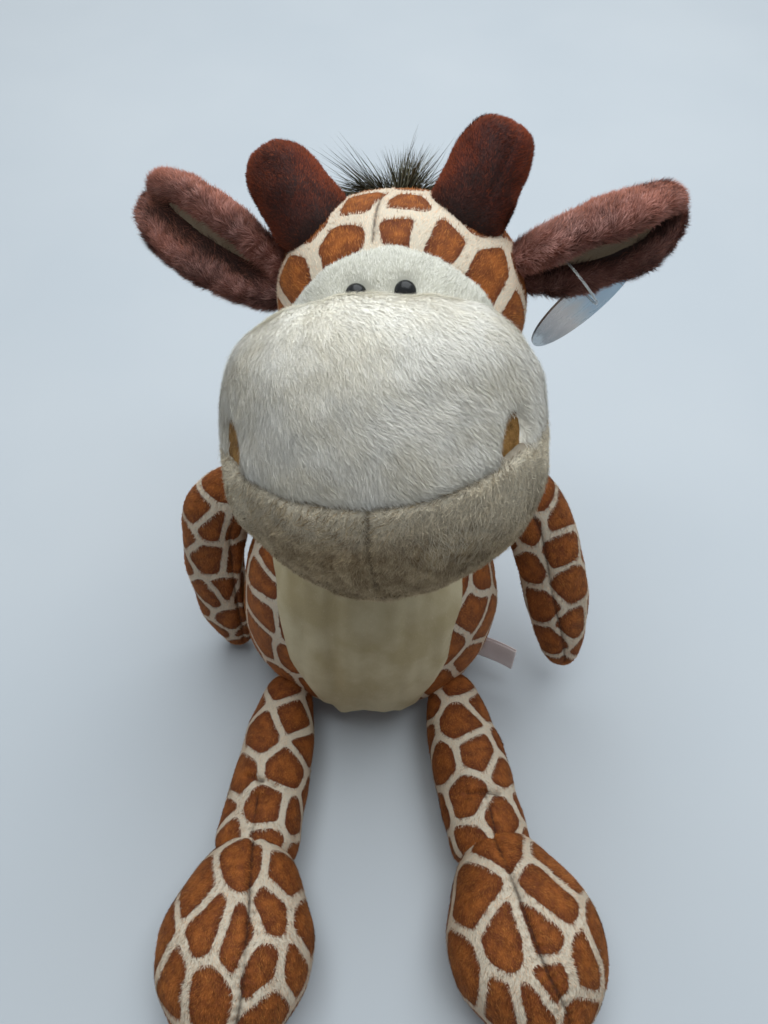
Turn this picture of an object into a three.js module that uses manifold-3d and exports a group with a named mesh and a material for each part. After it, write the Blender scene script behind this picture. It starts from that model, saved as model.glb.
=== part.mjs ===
// Plush giraffe that sits with its legs forward and its face turned up.
// Millimetres, +Z up, the toy faces -Y, origin at the middle of the flat seat.
// Left and right are the sides seen from the front, so left is -X.
import * as THREE from "three";
import { mergeVertices } from "three/addons/utils/BufferGeometryUtils.js";
import Module from "manifold-3d";

const wasm = await Module();
wasm.setup();

// Fits and cloth
const seamGap = 0.35; // between sewn pieces
const jointGap = 0.5; // round a neck or ankle that turns in its socket
const rootGap = 0.8; // round the ball of a limb's root
const panelThickness = 1.4; // plush panel laid on a stuffed form
const seatCut = 0.5; // depth of the flat under what rests on the ground
const overrun = 40; // how far cutting solids run past what they cut

// Torso
const torsoWidth = 107;
const torsoDepth = 82;
const torsoHeight = 110;
const torsoLean = 15; // how far the top sits behind the seat
const torsoWidthShares = [0.92, 1, 0.98, 0.84, 0.66];
const torsoDepthShares = [0.92, 1.02, 0.99, 0.86, 0.68];
const torsoLeanShares = [0, 0.02, 0.2, 0.55, 1];
const torsoPowers = [6, 2.6];

// Belly panel, an outline seen from the front
const bellyWidth = 76;
const bellyTopDrop = 6; // below the torso's top
const bellyTop = torsoHeight - bellyTopDrop;
const bellyBottom = 8;
const bellySideShares = [
  [0, 0],
  [0.3, 0.02],
  [0.62, 0.14],
  [0.88, 0.36],
  [1, 0.62],
  [1, 0.85],
  [0.8, 1],
];

// Pellet bag low in the torso, with the channel it is filled through
const pelletBagWidth = 58;
const pelletBagDepth = 48;
const pelletBagHeight = 24;
const pelletBagRise = 12; // its underside above the seat
const pelletChannelRadius = 5;
const pelletGirthShares = [0.8, 1, 0.8];

// Sewn-in label at the right hip
const labelLength = 15;
const labelWidth = 17;
const labelThickness = 0.9;
const labelHeight = 20;
const labelForward = 14; // how far in front of the middle of the seat it is sewn in
const labelTurn = 30; // degrees that it points forward
const labelTuckShare = 0.3; // of its length inside the widest part of the torso

// Tail
const tailRise = 40;
const tailLength = 58;
const tailRadius = 4.2;
const tailDroop = 29; // how far its end hangs below its root
const tailRootRadius = 4.6;
const tailTuftLength = 26;
const tailTuftRadius = 6.4;
const tailRange = [-10, 60];
const tailCurveShares = [
  [-0.02, 0],
  [0.3, -0.08],
  [0.65, -0.42],
  [1, -1],
];
const tailGirthShares = [1, 0.9, 0.85, 0.8];
const tailTuftShares = [-0.2, 0.2, 0.6, 1];
const tailTuftGirthShares = [0.8, 1, 0.9, 0.4];
const tailTuftCurlShare = 0.4;

// Neck
const neckRadius = 21;
const neckSink = 6; // its pivot below the torso's top
const neckBaseHeight = torsoHeight - neckSink;
const neckBack = 14; // its axis behind the middle of the seat
const neckSide = 3;
const neckLength = 54;
const neckTopHeight = neckBaseHeight + neckLength;
const neckCollarRadius = 18.5; // where it enters the head
const neckRiseShares = [0.32, 0.55, 0.72]; // heights of the rings of its taper
const neckTaperShares = [0, 0.4, 1];
const neckCrownShare = 0.8;
const neckCrownDropShare = 0.25;
const neckRange = [-18, 18];

// Head, laid out square in its own frame and then turned up and to the side
const headPitch = 48; // degrees that the face looks up
const headYaw = 10; // degrees that it looks to the left
const headRoll = 2.5; // degrees that it tilts
const muzzleRise = 11; // its middle above the neck
const muzzleCentre = [5.5, -21, neckTopHeight + muzzleRise];
const muzzleWidth = 95;
const muzzleHeight = 87;
const muzzleDepth = 75;
const muzzleGirthShares = [0.96, 1, 1, 0.94];
const mouthDrop = 0.6; // seam below the muzzle's middle
const mouthSlope = 19; // degrees that the seam falls toward the front
const skullWidth = 83;
const skullHeight = 76;
const skullDepth = 76;
const skullBack = 48.5; // its middle behind the muzzle's
const skullRise = 45; // and above it
const skullGirthShares = [0.92, 1, 1, 0.96];
const headSpineShares = [-0.5, -0.17, 0.17, 0.5];

// Cream forehead panel
const faceWidth = 70;
const faceTop = 16; // above the skull's middle
const faceDrop = 16; // below it, behind the muzzle
const faceTopShares = [
  [1, 0],
  [1, 0.3],
  [0.86, 0.62],
  [0.55, 0.84],
  [0.2, 1],
];

// Safety eyes
const eyeRadius = 3.3;
const eyeSpread = 7.2; // each from the face's midline
const eyeRise = 1; // above the skull's middle
const eyeAimShare = 0.4; // where the stem's line starts between the midline and the eye
const eyeDomeShare = 0.8; // height of the dome in eye radii
const eyeDomeSteps = 4;
const eyeFlange = 0.8;
const eyeStemRadius = 1.2;
const eyeStemLength = 9;
const eyeRibs = 4;
const eyeRibDepth = 0.25;
const washerRadius = 5.2;
const washerThickness = 1.6;
const washerDepth = 6.2; // from the cloth to the washer's far face

// Nostrils
const nostrilHeight = 16;
const nostrilWidth = 7.5;
const nostrilDepth = 3; // of the recess
const nostrilThickness = 1.2;
const nostrilTurn = 61; // degrees round from the front
const nostrilRise = -5;

// Horns
const hornLength = 39.5;
const hornRadius = 12.8;
const hornSpread = 20; // root from the skull's midline
const hornRise = 19; // root above the skull's middle
const hornLean = { left: 34, right: 28 }; // degrees outward
const hornForward = 14; // root in front of the skull's middle
const hornBackLean = 4;
const hornGirthShares = [0.98, 1, 0.98, 0.95, 0.9];

// Ears
const earLength = { left: 66, right: 57 }; // the right one is folded tighter
const earWidth = 35;
const earThickness = 15;
const earCup = 12; // how far the edges fold forward
const earRootRadius = 7.5;
const earSpread = { left: 36.5, right: 37 }; // root from the skull's midline
const earRise = 7;
const earBack = -3;
const earUp = { left: 36, right: 19 }; // degrees that it points up
const earSweep = 8; // degrees that it points back
const earTwist = 14; // degrees that its opening turns down
const earWidthShares = [0.46, 0.8, 0.98, 1, 0.8];
const earDepthShares = [0.6, 0.9, 1, 0.95, 0.7];
const earRange = [-25, 25];
const liningStartShare = 0.2;
const liningEndShare = 0.88;
const liningWidthShare = 0.5;

// Hair tuft
const tuftWidth = 36;
const tuftHeight = 22;
const tuftDepth = 11;
const tuftBack = 7; // behind the skull's middle
const tuftRiseShares = [-0.3, 0.2, 0.6, 1];
const tuftWidthShares = [0.5, 0.7, 1, 0.9];
const tuftDepthShares = [1, 1, 0.8, 0.4];
const tuftCurlShare = 0.4;

// Arms
const armDrop = 92; // shoulder to hand
const armReach = 20; // how far it stands off the shoulder
const armWidth = 27;
const armThickness = 21.5;
const armRootRadius = 9.5;
const shoulderInset = 11.5; // inside the torso's widest part
const shoulderSpread = torsoWidth / 2 - shoulderInset;
const shoulderBack = 19;
const shoulderDrop = 16; // below the torso's top
const shoulderHeight = torsoHeight - shoulderDrop;
const armSwing = { left: 13, right: 27 }; // degrees forward
const armSplay = { left: 0, right: 15 }; // degrees outward
const armOutShares = [-0.5, 0.3, 0.92, 1.08, 1.05, 0.9];
const armDropShares = [-0.02, 0, 0.13, 0.4, 0.7, 1.02];
const armGirthShares = [0.7, 0.8, 0.94, 1, 1, 0.86];
const armClearSteps = 10; // rings of the dish that keeps an arm off the torso

// Legs
const legLength = 70; // hip to ankle
const legWidth = 31;
const legHeight = 28;
const legRootRadius = 11;
const hipSpread = 34.5;
const hipForward = 32;
const hipHeight = 15;
const legSplay = { left: 8, right: 11.5 };
const legRange = [-50, 45];
const legGirthShares = [0.62, 0.82, 0.97, 1, 1.03];
const ankleRadius = 14;
const ankleRange = [-30, 30];

// Feet
const footLength = 67; // ankle to toe
const footTurn = { left: -1.5, right: 5 }; // degrees further outward than the leg
const footWidth = 56.5;
const footHeight = 39;
const footWidthShares = [0.55, 0.8, 1, 0.98, 0.8];
const footHeightShares = [0.74, 0.9, 1, 0.98, 0.84];
const footStartShare = 0.6; // of the ankle's radius, behind the ankle

// Round swing tag on a clear loop through the rim of the right ear
const tagDiameter = 47;
const tagThickness = 0.8;
const tagHoleRadius = 2.5;
const tagHoleInset = 5; // hole to the card's edge
const tagSlant = 37; // degrees that the card's upper edge rises to the right
const tagLean = 78; // degrees that the card hangs back
const loopRadius = 11;
const loopWire = 0.45; // radius of the clear thread
const loopBite = 2.5; // how deep the loop goes into the ear
const loopLift = tagHoleRadius - loopWire - seamGap; // the thread pulls up against the edge of its hole
const loopTurn = 47; // degrees forward from the ear's lowest line
const loopRise = 0; // degrees that the loop stands off the card
const loopShare = 0.38; // along the ear

// Facets
const roundSides = 18;
const fineSides = 24;
const rootSides = 12; // balls of the limb roots
const smallSides = 10; // turned parts of the eyes
const sweepStep = 16; // degrees between the places where a moving root is cleared

const degrees = THREE.MathUtils.degToRad;
const axisX = new THREE.Vector3(1, 0, 0);
const axisY = new THREE.Vector3(0, 1, 0);
const axisZ = new THREE.Vector3(0, 0, 1);
const whole = new THREE.Matrix4();

// Cloth
const print = new THREE.MeshStandardMaterial({ color: 0x8f4a1e, roughness: 0.92 });
const creamPile = new THREE.MeshStandardMaterial({ color: 0xcfc7ae, roughness: 0.95 });
const jawPile = new THREE.MeshStandardMaterial({ color: 0xb3a68c, roughness: 0.95 });
const bellyCloth = new THREE.MeshStandardMaterial({ color: 0xbdb593, roughness: 0.9 });
const hornPile = new THREE.MeshStandardMaterial({ color: 0x6d2413, roughness: 0.95 });
const earPile = new THREE.MeshStandardMaterial({ color: 0x6a4034, roughness: 0.95 });
const liningCloth = new THREE.MeshStandardMaterial({ color: 0x8a745c, roughness: 0.92 });
const nostrilCloth = new THREE.MeshStandardMaterial({ color: 0x8a6438, roughness: 0.92 });
const hair = new THREE.MeshStandardMaterial({ color: 0x3b3a2c, roughness: 0.85 });
const blackGloss = new THREE.MeshStandardMaterial({ color: 0x101418, roughness: 0.08 });
const washerPlastic = new THREE.MeshStandardMaterial({ color: 0xd8d8d4, roughness: 0.5 });
const pelletCloth = new THREE.MeshStandardMaterial({ color: 0xdedcd2, roughness: 0.9 });
const ribbon = new THREE.MeshStandardMaterial({ color: 0xe6dcdc, roughness: 0.7 });
const card = new THREE.MeshStandardMaterial({ color: 0x9fb2bf, roughness: 0.35 });
const clearThread = new THREE.MeshStandardMaterial({ color: 0xd8dcdc, roughness: 0.3 });

// Geometry to solid and back
function solidOf(geometry, matrix = whole) {
  const bare = new THREE.BufferGeometry();
  bare.setAttribute("position", geometry.getAttribute("position").clone());
  if (geometry.index) bare.setIndex(geometry.index.clone());
  bare.applyMatrix4(matrix);
  const merged = mergeVertices(bare);
  const vertProperties = Float32Array.from(merged.getAttribute("position").array);
  const triVerts = Uint32Array.from(merged.index.array);
  return new wasm.Manifold(new wasm.Mesh({ numProp: 3, vertProperties, triVerts }));
}

function meshOf(name, solid, material) {
  const { vertProperties, triVerts } = solid.getMesh();
  const geometry = new THREE.BufferGeometry();
  geometry.setAttribute("position", new THREE.Float32BufferAttribute(vertProperties, 3));
  geometry.setIndex([...triVerts]);
  const mesh = new THREE.Mesh(geometry, material);
  mesh.name = name;
  return mesh;
}

function moved(solid, matrix) {
  return solid.transform(matrix.elements);
}

// The largest of a solid's separate bodies, which drops the crumbs that a cut leaves
function largest(solid) {
  const bodies = solid.decompose();
  bodies.sort((a, b) => b.volume() - a.volume());
  return bodies[0];
}

// A stuffed form is a row of oval rings along a spine, closed by rounded ends.
// The end rounding is (1 - |2s - 1|^power)^(1/power), with a power for each end.
function bulgeAt(share, powers) {
  const power = share < 0.5 ? powers[0] : powers[1];
  return Math.pow(1 - Math.pow(Math.abs(2 * share - 1), power), 1 / power);
}

function stuffedForm({ spine, girths, side, powers, rings, sides = roundSides, fold = 0 }) {
  const path = new THREE.CatmullRomCurve3(spine, false, "catmullrom", 0.5);
  const radii = girths.map(([across, through]) => new THREE.Vector3(across, through, 0));
  const girth = new THREE.CatmullRomCurve3(radii, false, "catmullrom", 0.5);
  const points = [path.getPoint(0)];
  for (let ring = 1; ring < rings; ring += 1) {
    const share = (1 - Math.cos((Math.PI * ring) / rings)) / 2;
    const centre = path.getPoint(share);
    const along = path.getTangent(share);
    const across = side.clone().addScaledVector(along, -side.dot(along)).normalize();
    const through = new THREE.Vector3().crossVectors(along, across);
    const size = girth.getPoint(share).multiplyScalar(bulgeAt(share, powers));
    for (let step = 0; step < sides; step += 1) {
      const angle = (2 * Math.PI * step) / sides;
      const out = size.x * Math.cos(angle);
      const lift = size.y * Math.sin(angle) + fold * Math.cos(angle) ** 2 * bulgeAt(share, powers);
      points.push(centre.clone().addScaledVector(across, out).addScaledVector(through, lift));
    }
  }
  points.push(path.getPoint(1));
  return closedRings(points, rings - 1, sides);
}

// Rings of points between a first and a last pole, with the faces out
function closedRings(points, count, sides) {
  const faces = [];
  const last = points.length - 1;
  for (let step = 0; step < sides; step += 1) {
    const next = (step + 1) % sides;
    faces.push(0, 1 + next, 1 + step);
    for (let ring = 0; ring < count - 1; ring += 1) {
      const low = 1 + ring * sides;
      const high = low + sides;
      faces.push(low + step, low + next, high + next);
      faces.push(low + step, high + next, high + step);
    }
    const top = 1 + (count - 1) * sides;
    faces.push(top + step, top + next, last);
  }
  const geometry = new THREE.BufferGeometry().setFromPoints(points);
  geometry.setIndex(faces);
  return geometry;
}

// The same form with its surface moved out along its normals
function grown(geometry, distance) {
  const copy = geometry.clone();
  copy.computeVertexNormals();
  const place = copy.getAttribute("position");
  const normal = copy.getAttribute("normal");
  for (let index = 0; index < place.count; index += 1) {
    const out = new THREE.Vector3().fromBufferAttribute(normal, index);
    const point = new THREE.Vector3().fromBufferAttribute(place, index);
    point.addScaledVector(out, distance);
    place.setXYZ(index, point.x, point.y, point.z);
  }
  copy.deleteAttribute("normal");
  return copy;
}

function scaledGirths(width, depth, widthShares, depthShares = widthShares) {
  return widthShares.map((share, index) => [
    (width / 2) * share,
    (depth / 2) * depthShares[index],
  ]);
}

function ball(radius, centre = new THREE.Vector3(), sides = rootSides) {
  const sphere = new THREE.SphereGeometry(radius, sides, sides / 2);
  return solidOf(sphere, new THREE.Matrix4().setPosition(centre));
}

// A body turned round the Z axis from pairs of radius and height
function turned(profile, sides = roundSides) {
  const points = profile.map(([radius, height]) => new THREE.Vector2(radius, height));
  const lathe = new THREE.LatheGeometry(points, sides);
  return solidOf(lathe, new THREE.Matrix4().makeRotationX(Math.PI / 2));
}

// A prism of an outline in X and Z that runs from the first to the second Y
function prismAlongY(outline, from, to) {
  const shape = new THREE.Shape(outline);
  const geometry = new THREE.ExtrudeGeometry(shape, { depth: to - from, bevelEnabled: false });
  const matrix = new THREE.Matrix4().makeRotationX(Math.PI / 2).setPosition(0, to, 0);
  return solidOf(geometry, matrix);
}

// A cloth panel that lies on a stuffed form inside an outline
function panelOn(form, prism, gap = seamGap) {
  const outer = solidOf(grown(form, gap + panelThickness));
  const inner = solidOf(grown(form, gap));
  return outer.subtract(inner).intersect(prism);
}

// What is left of a moving root when its neighbour is cut away over the whole range
function clearedOf(root, neighbour, range, axis) {
  const steps = Math.ceil((range[1] - range[0]) / sweepStep);
  let left = root;
  for (let step = 0; step <= steps; step += 1) {
    const angle = range[0] + ((range[1] - range[0]) * step) / steps;
    const turn = new THREE.Matrix4().makeRotationAxis(axis, degrees(-angle));
    left = left.subtract(moved(neighbour, turn));
  }
  return largest(left);
}

// Joint places
const neckPivot = new THREE.Vector3(neckSide, neckBack, neckBaseHeight);
const sideOf = { left: -1, right: 1 };
const shoulderAt = (name) => new THREE.Vector3(sideOf[name] * shoulderSpread, shoulderBack, shoulderHeight);
const hipAt = (name) => new THREE.Vector3(sideOf[name] * hipSpread, -hipForward, hipHeight);
const tailPivot = new THREE.Vector3(0, torsoDepth / 2 + torsoLean * torsoLeanShares[2], tailRise);

// Torso
function torsoForm() {
  const last = torsoLeanShares.length - 1;
  const spine = torsoLeanShares.map((share, index) => new THREE.Vector3(
    0,
    torsoLean * share,
    (torsoHeight * index) / last - seatCut * (1 - index / last),
  ));
  const girths = scaledGirths(torsoWidth, torsoDepth, torsoWidthShares, torsoDepthShares);
  return stuffedForm({ spine, girths, side: axisX, powers: torsoPowers, rings: 22, sides: fineSides });
}

function groundSlab() {
  const size = 2 * (torsoWidth + torsoHeight + footLength + legLength);
  const slab = new THREE.BoxGeometry(size, size, overrun);
  return solidOf(slab, new THREE.Matrix4().setPosition(0, 0, -overrun / 2));
}

function pelletForm(gap) {
  const radius = pelletBagHeight / 2;
  const spine = [0, 0.5, 1].map((share) => new THREE.Vector3(
    0,
    0,
    pelletBagRise - gap + share * (2 * radius + 2 * gap),
  ));
  const girths = scaledGirths(pelletBagWidth + 2 * gap, pelletBagDepth + 2 * gap, pelletGirthShares);
  return stuffedForm({ spine, girths, side: axisX, powers: [2.6, 2.2], rings: 8, sides: 16 });
}

function torsoSolid(form) {
  const channel = new THREE.CylinderGeometry(
    pelletChannelRadius,
    pelletChannelRadius,
    neckBaseHeight - pelletBagRise - pelletBagHeight,
    roundSides / 2,
  );
  const middle = (neckBaseHeight + pelletBagRise) / 2;
  const channelPlace = new THREE.Matrix4().makeRotationX(Math.PI / 2).setPosition(neckSide, neckBack / 2, middle);
  let torso = solidOf(form).subtract(groundSlab());
  torso = torso.subtract(ball(neckRadius + jointGap, neckPivot, fineSides));
  torso = torso.subtract(solidOf(pelletForm(seamGap))).subtract(solidOf(channel, channelPlace));
  for (const name of ["left", "right"]) {
    torso = torso.subtract(ball(armRootRadius + rootGap, shoulderAt(name)));
    torso = torso.subtract(ball(legRootRadius + rootGap, hipAt(name)));
  }
  return largest(torso.subtract(ball(tailRootRadius + rootGap, tailPivot)));
}

function bellyPrism() {
  const height = bellyTop - bellyBottom;
  const right = bellySideShares.map(([out, up]) => new THREE.Vector2(
    (bellyWidth / 2) * out,
    bellyBottom + height * up,
  ));
  const curve = new THREE.SplineCurve(right).getPoints(2 * right.length);
  const left = curve.slice(1).reverse().map((point) => new THREE.Vector2(-point.x, point.y));
  return prismAlongY([...curve, ...left], -torsoDepth, 0);
}

// Label, a ribbon folded double and sewn into the side seam
function labelSolid(torso) {
  const corner = labelThickness;
  const shape = new THREE.Shape();
  shape.moveTo(-labelLength, 0);
  shape.lineTo(labelLength - corner, 0);
  shape.absarc(labelLength - corner, corner / 2, corner / 2, -Math.PI / 2, Math.PI / 2);
  shape.lineTo(-labelLength, corner);
  const strip = new THREE.ExtrudeGeometry(shape, { depth: labelWidth, bevelEnabled: false, curveSegments: 4 });
  const place = new THREE.Matrix4()
    .makeRotationZ(degrees(-labelTurn))
    .setPosition(torsoWidth / 2 - labelLength * labelTuckShare, -labelForward, labelHeight - labelWidth / 2);
  return largest(solidOf(strip, place).subtract(torso));
}

// Tail, in its own frame at its root
function tailSolids(torso) {
  const end = tailLength * Math.cos(Math.asin(tailDroop / tailLength));
  const spine = tailCurveShares.map(([out, fall]) => new THREE.Vector3(0, end * out, tailDroop * fall));
  const girths = scaledGirths(2 * tailRadius, 2 * tailRadius, tailGirthShares);
  const cord = stuffedForm({ spine, girths, side: axisX, powers: [4, 4], rings: 12, sides: 10 });
  const rootBall = ball(tailRootRadius);
  const near = moved(torso, new THREE.Matrix4().setPosition(tailPivot.clone().negate()));
  const tail = clearedOf(solidOf(cord), near, tailRange, axisX).add(rootBall);
  const from = spine[spine.length - 1];
  const direction = from.clone().sub(spine[spine.length - 2]).normalize();
  const tuftSpine = tailTuftShares.map((share) => from.clone().addScaledVector(
    new THREE.Vector3(0, direction.y, direction.z * (1 - share) * tailTuftCurlShare).normalize(),
    tailTuftLength * share,
  ));
  const tuftGirths = scaledGirths(2 * tailTuftRadius, 2 * tailTuftRadius, tailTuftGirthShares);
  const tuft = stuffedForm({ spine: tuftSpine, girths: tuftGirths, side: axisX, powers: [2.2, 2], rings: 9, sides: 12 });
  return { tail, tuft: solidOf(tuft).subtract(solidOf(grown(cord, seamGap))) };
}

// Neck, in its own frame at its pivot
function neckForm(gap) {
  const top = neckTopHeight - neckBaseHeight;
  const quarter = Math.PI / 2;
  const steps = fineSides / 4;
  const taper = neckRadius - neckCollarRadius;
  const profile = [[0, -neckRadius - gap]];
  for (let step = 1; step <= steps; step += 1) {
    const angle = (quarter * step) / steps;
    profile.push([(neckRadius + gap) * Math.sin(angle), -(neckRadius + gap) * Math.cos(angle)]);
  }
  neckRiseShares.forEach((share, index) => {
    profile.push([neckRadius + gap - taper * neckTaperShares[index], top * share]);
  });
  profile.push([neckCollarRadius + gap, top + gap - neckCollarRadius * neckCrownDropShare]);
  profile.push([neckCollarRadius * neckCrownShare, top + gap]);
  profile.push([0, top + gap]);
  return turned(profile, fineSides);
}

// Head forms, in the head's own frame with its origin in the middle of the muzzle
function muzzleForm() {
  const spine = headSpineShares.map((share) => new THREE.Vector3(0, 0, muzzleHeight * share));
  const girths = scaledGirths(muzzleWidth, muzzleDepth, muzzleGirthShares);
  return stuffedForm({ spine, girths, side: axisX, powers: [2.05, 3.4], rings: 18, sides: fineSides });
}

function skullForm() {
  const spine = headSpineShares.map((share) => new THREE.Vector3(
    0,
    skullBack,
    skullRise + skullHeight * share,
  ));
  const girths = scaledGirths(skullWidth, skullDepth, skullGirthShares);
  return stuffedForm({ spine, girths, side: axisX, powers: [2.2, 2.4], rings: 16, sides: fineSides });
}

// Everything under the mouth seam, which falls toward the front
function underMouth(gap) {
  const size = 2 * muzzleWidth;
  const slab = new THREE.BoxGeometry(size, size, size);
  const place = new THREE.Matrix4()
    .makeRotationX(degrees(mouthSlope))
    .premultiply(new THREE.Matrix4().setPosition(0, 0, -mouthDrop))
    .multiply(new THREE.Matrix4().setPosition(0, 0, -size / 2 + gap));
  return solidOf(slab, place);
}

function facePrism() {
  const height = faceTop + faceDrop;
  const right = faceTopShares.map(([out, up]) => new THREE.Vector2(
    (faceWidth / 2) * out,
    skullRise - faceDrop + height * up,
  ));
  const curve = new THREE.SplineCurve(right).getPoints(2 * right.length);
  const left = curve.slice().reverse().map((point) => new THREE.Vector2(-point.x, point.y));
  return prismAlongY([...curve, ...left], -skullDepth, skullBack);
}

// Where a line from a point in a solid meets the solid's surface
function surfaceAlong(solid, from, direction) {
  const length = muzzleWidth;
  const needle = new THREE.BoxGeometry(seamGap, seamGap, length);
  const turn = new THREE.Quaternion().setFromUnitVectors(axisZ, direction);
  const middle = from.clone().addScaledVector(direction, length / 2);
  const place = new THREE.Matrix4().compose(middle, turn, new THREE.Vector3(1, 1, 1));
  const inside = solidOf(needle, place).intersect(solid).getMesh().vertProperties;
  let reach = 0;
  for (let index = 0; index < inside.length; index += 3) {
    const point = new THREE.Vector3().fromArray(inside, index);
    reach = Math.max(reach, point.sub(from).dot(direction));
  }
  return from.clone().addScaledVector(direction, reach);
}

// Places +Z of a turned body along a direction
function pointing(direction, at) {
  const turn = new THREE.Quaternion().setFromUnitVectors(axisZ, direction);
  return new THREE.Matrix4().compose(at, turn, new THREE.Vector3(1, 1, 1));
}

// Safety eye: a dome, a flange and a ribbed stem that goes through the cloth
function eyeSolid() {
  const profile = [[0, -eyeStemLength], [eyeStemRadius - eyeRibDepth, -eyeStemLength]];
  const pitch = eyeStemLength / (eyeRibs + 2);
  for (let rib = 0; rib < eyeRibs; rib += 1) {
    const low = -eyeStemLength + pitch * (rib + 1);
    profile.push([eyeStemRadius, low], [eyeStemRadius - eyeRibDepth, low + pitch / 2]);
  }
  profile.push([eyeStemRadius, -pitch], [eyeStemRadius, 0], [eyeRadius, 0], [eyeRadius, eyeFlange]);
  const dome = eyeRadius * eyeDomeShare;
  for (let step = 1; step < eyeDomeSteps; step += 1) {
    const angle = (Math.PI / 2) * (step / eyeDomeSteps);
    profile.push([eyeRadius * Math.cos(angle), eyeFlange + dome * Math.sin(angle)]);
  }
  profile.push([0, eyeFlange + dome]);
  return turned(profile, smallSides);
}

function ringSolid(inner, outer, thickness) {
  return turned([[inner, 0], [outer, 0], [outer, thickness], [inner, thickness], [inner, 0]], smallSides);
}

function drum(radius, low, high, sides = smallSides) {
  return turned([[0, low], [radius, low], [radius, high], [0, high]], sides);
}

// An upright oval of the nostril's outline, held in by a gap
function nostrilOval(gap, low, high) {
  const upright = new THREE.Matrix4().makeScale((nostrilWidth / 2 - gap) / (nostrilHeight / 2 - gap), 1, 1);
  return moved(drum(nostrilHeight / 2 - gap, low, high, roundSides), upright);
}

// Horn, in its own frame at its root, along +Z
function hornForm() {
  const spine = hornGirthShares.map((share, index) => new THREE.Vector3(
    0,
    0,
    (hornLength * index) / (hornGirthShares.length - 1),
  ));
  const girths = scaledGirths(2 * hornRadius, 2 * hornRadius, hornGirthShares);
  return stuffedForm({ spine, girths, side: axisX, powers: [5, 3], rings: 12, sides: 20 });
}

// Ear, in its own frame at its root, along +X with its hollow toward -Y
function earForm(name) {
  const last = earWidthShares.length - 1;
  const spine = earWidthShares.map((share, index) => new THREE.Vector3((earLength[name] * index) / last, 0, 0));
  const girths = scaledGirths(earWidth, earThickness, earWidthShares, earDepthShares);
  return stuffedForm({ spine, girths, side: axisZ, powers: [3, 2.4], rings: 14, sides: 20, fold: earCup });
}

function liningPrism(name) {
  const from = earLength[name] * liningStartShare;
  const to = earLength[name] * liningEndShare;
  const ellipse = new THREE.EllipseCurve(
    (from + to) / 2,
    0,
    (to - from) / 2,
    (earWidth / 2) * liningWidthShare,
  ).getPoints(20);
  return prismAlongY(ellipse.slice(0, -1), -overrun, 0);
}

// Arm, in its own frame at its root, out along +X and then down
function armForm() {
  const spine = armOutShares.map((share, index) => new THREE.Vector3(
    armReach * share,
    0,
    -armDrop * armDropShares[index],
  ));
  const girths = scaledGirths(armThickness, armWidth, armGirthShares);
  return stuffedForm({ spine, girths, side: axisY, powers: [6, 3], rings: 16, sides: 18 });
}

// Half the torso's width at a height, and the widest there is below the widest height
function torsoHalfWidth(height) {
  const widths = torsoWidthShares.map((share) => new THREE.Vector3((torsoWidth / 2) * share, 0, 0));
  const curve = new THREE.CatmullRomCurve3(widths, false, "catmullrom", 0.5);
  const share = THREE.MathUtils.clamp(height / torsoHeight, 0, 1);
  return curve.getPoint(share).x * bulgeAt(share, torsoPowers);
}

// A dish round a shoulder's axis, open along +X, that the torso's side stays under
function torsoDish() {
  const profile = [];
  let widest = 0;
  for (let step = 0; step <= armClearSteps; step += 1) {
    const radius = (shoulderHeight * step) / armClearSteps;
    widest = Math.max(widest, torsoHalfWidth(shoulderHeight - radius));
    profile.push([radius, widest + jointGap - shoulderSpread]);
  }
  profile.push([2 * shoulderHeight, widest + jointGap - shoulderSpread]);
  profile.push([2 * shoulderHeight, -2 * shoulderSpread]);
  profile.push([0, -2 * shoulderSpread]);
  return moved(turned(profile.reverse(), fineSides), new THREE.Matrix4().makeRotationY(Math.PI / 2));
}

// Leg, in its own frame at the hip, along -Y
function legForm() {
  const last = legGirthShares.length - 1;
  const spine = legGirthShares.map((share, index) => new THREE.Vector3(0, -(legLength * index) / last, 0));
  const girths = scaledGirths(legWidth, legHeight, legGirthShares);
  return stuffedForm({ spine, girths, side: axisX, powers: [3, 9], rings: 16, sides: 20 });
}

// Foot, in its own frame at the ankle, along -Y
function footForm() {
  const last = footWidthShares.length - 1;
  const rise = footHeight / 2 - hipHeight - seatCut;
  const start = ankleRadius * footStartShare;
  const spine = footWidthShares.map((share, index) => new THREE.Vector3(
    0,
    start - ((footLength + start) * index) / last,
    rise * footHeightShares[index],
  ));
  const girths = scaledGirths(footWidth, footHeight, footWidthShares, footHeightShares);
  return stuffedForm({ spine, girths, side: axisX, powers: [3, 2.4], rings: 16, sides: 22 });
}

// Swing tag, in its own frame at its hole, hanging along -Z
function tagSolid() {
  const radius = tagDiameter / 2;
  const shape = new THREE.Shape();
  shape.absarc(0, tagHoleInset - radius, radius, 0, 2 * Math.PI);
  const hole = new THREE.Path();
  hole.absarc(0, 0, tagHoleRadius, 0, 2 * Math.PI, true);
  shape.holes.push(hole);
  const geometry = new THREE.ExtrudeGeometry(shape, {
    depth: tagThickness,
    bevelEnabled: false,
    curveSegments: 24,
  });
  return solidOf(geometry, new THREE.Matrix4().makeRotationX(Math.PI / 2).setPosition(0, tagThickness / 2, 0));
}

// From the card's hole to the ear's rim, in the tag's frame
function loopDirection() {
  return new THREE.Vector3(0, Math.sin(degrees(loopRise)), Math.cos(degrees(loopRise)));
}

// Clear loop, round the card's edge and through its hole, in the tag's frame
function loopSolid(gap) {
  const ring = new THREE.TorusGeometry(loopRadius, loopWire + gap, 6, 20);
  const centre = loopDirection().multiplyScalar(loopRadius + loopLift);
  return solidOf(ring, new THREE.Matrix4().makeRotationY(Math.PI / 2).setPosition(centre));
}

// Builds the toy
const giraffe = new THREE.Group();
giraffe.name = "plush_giraffe";

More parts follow.
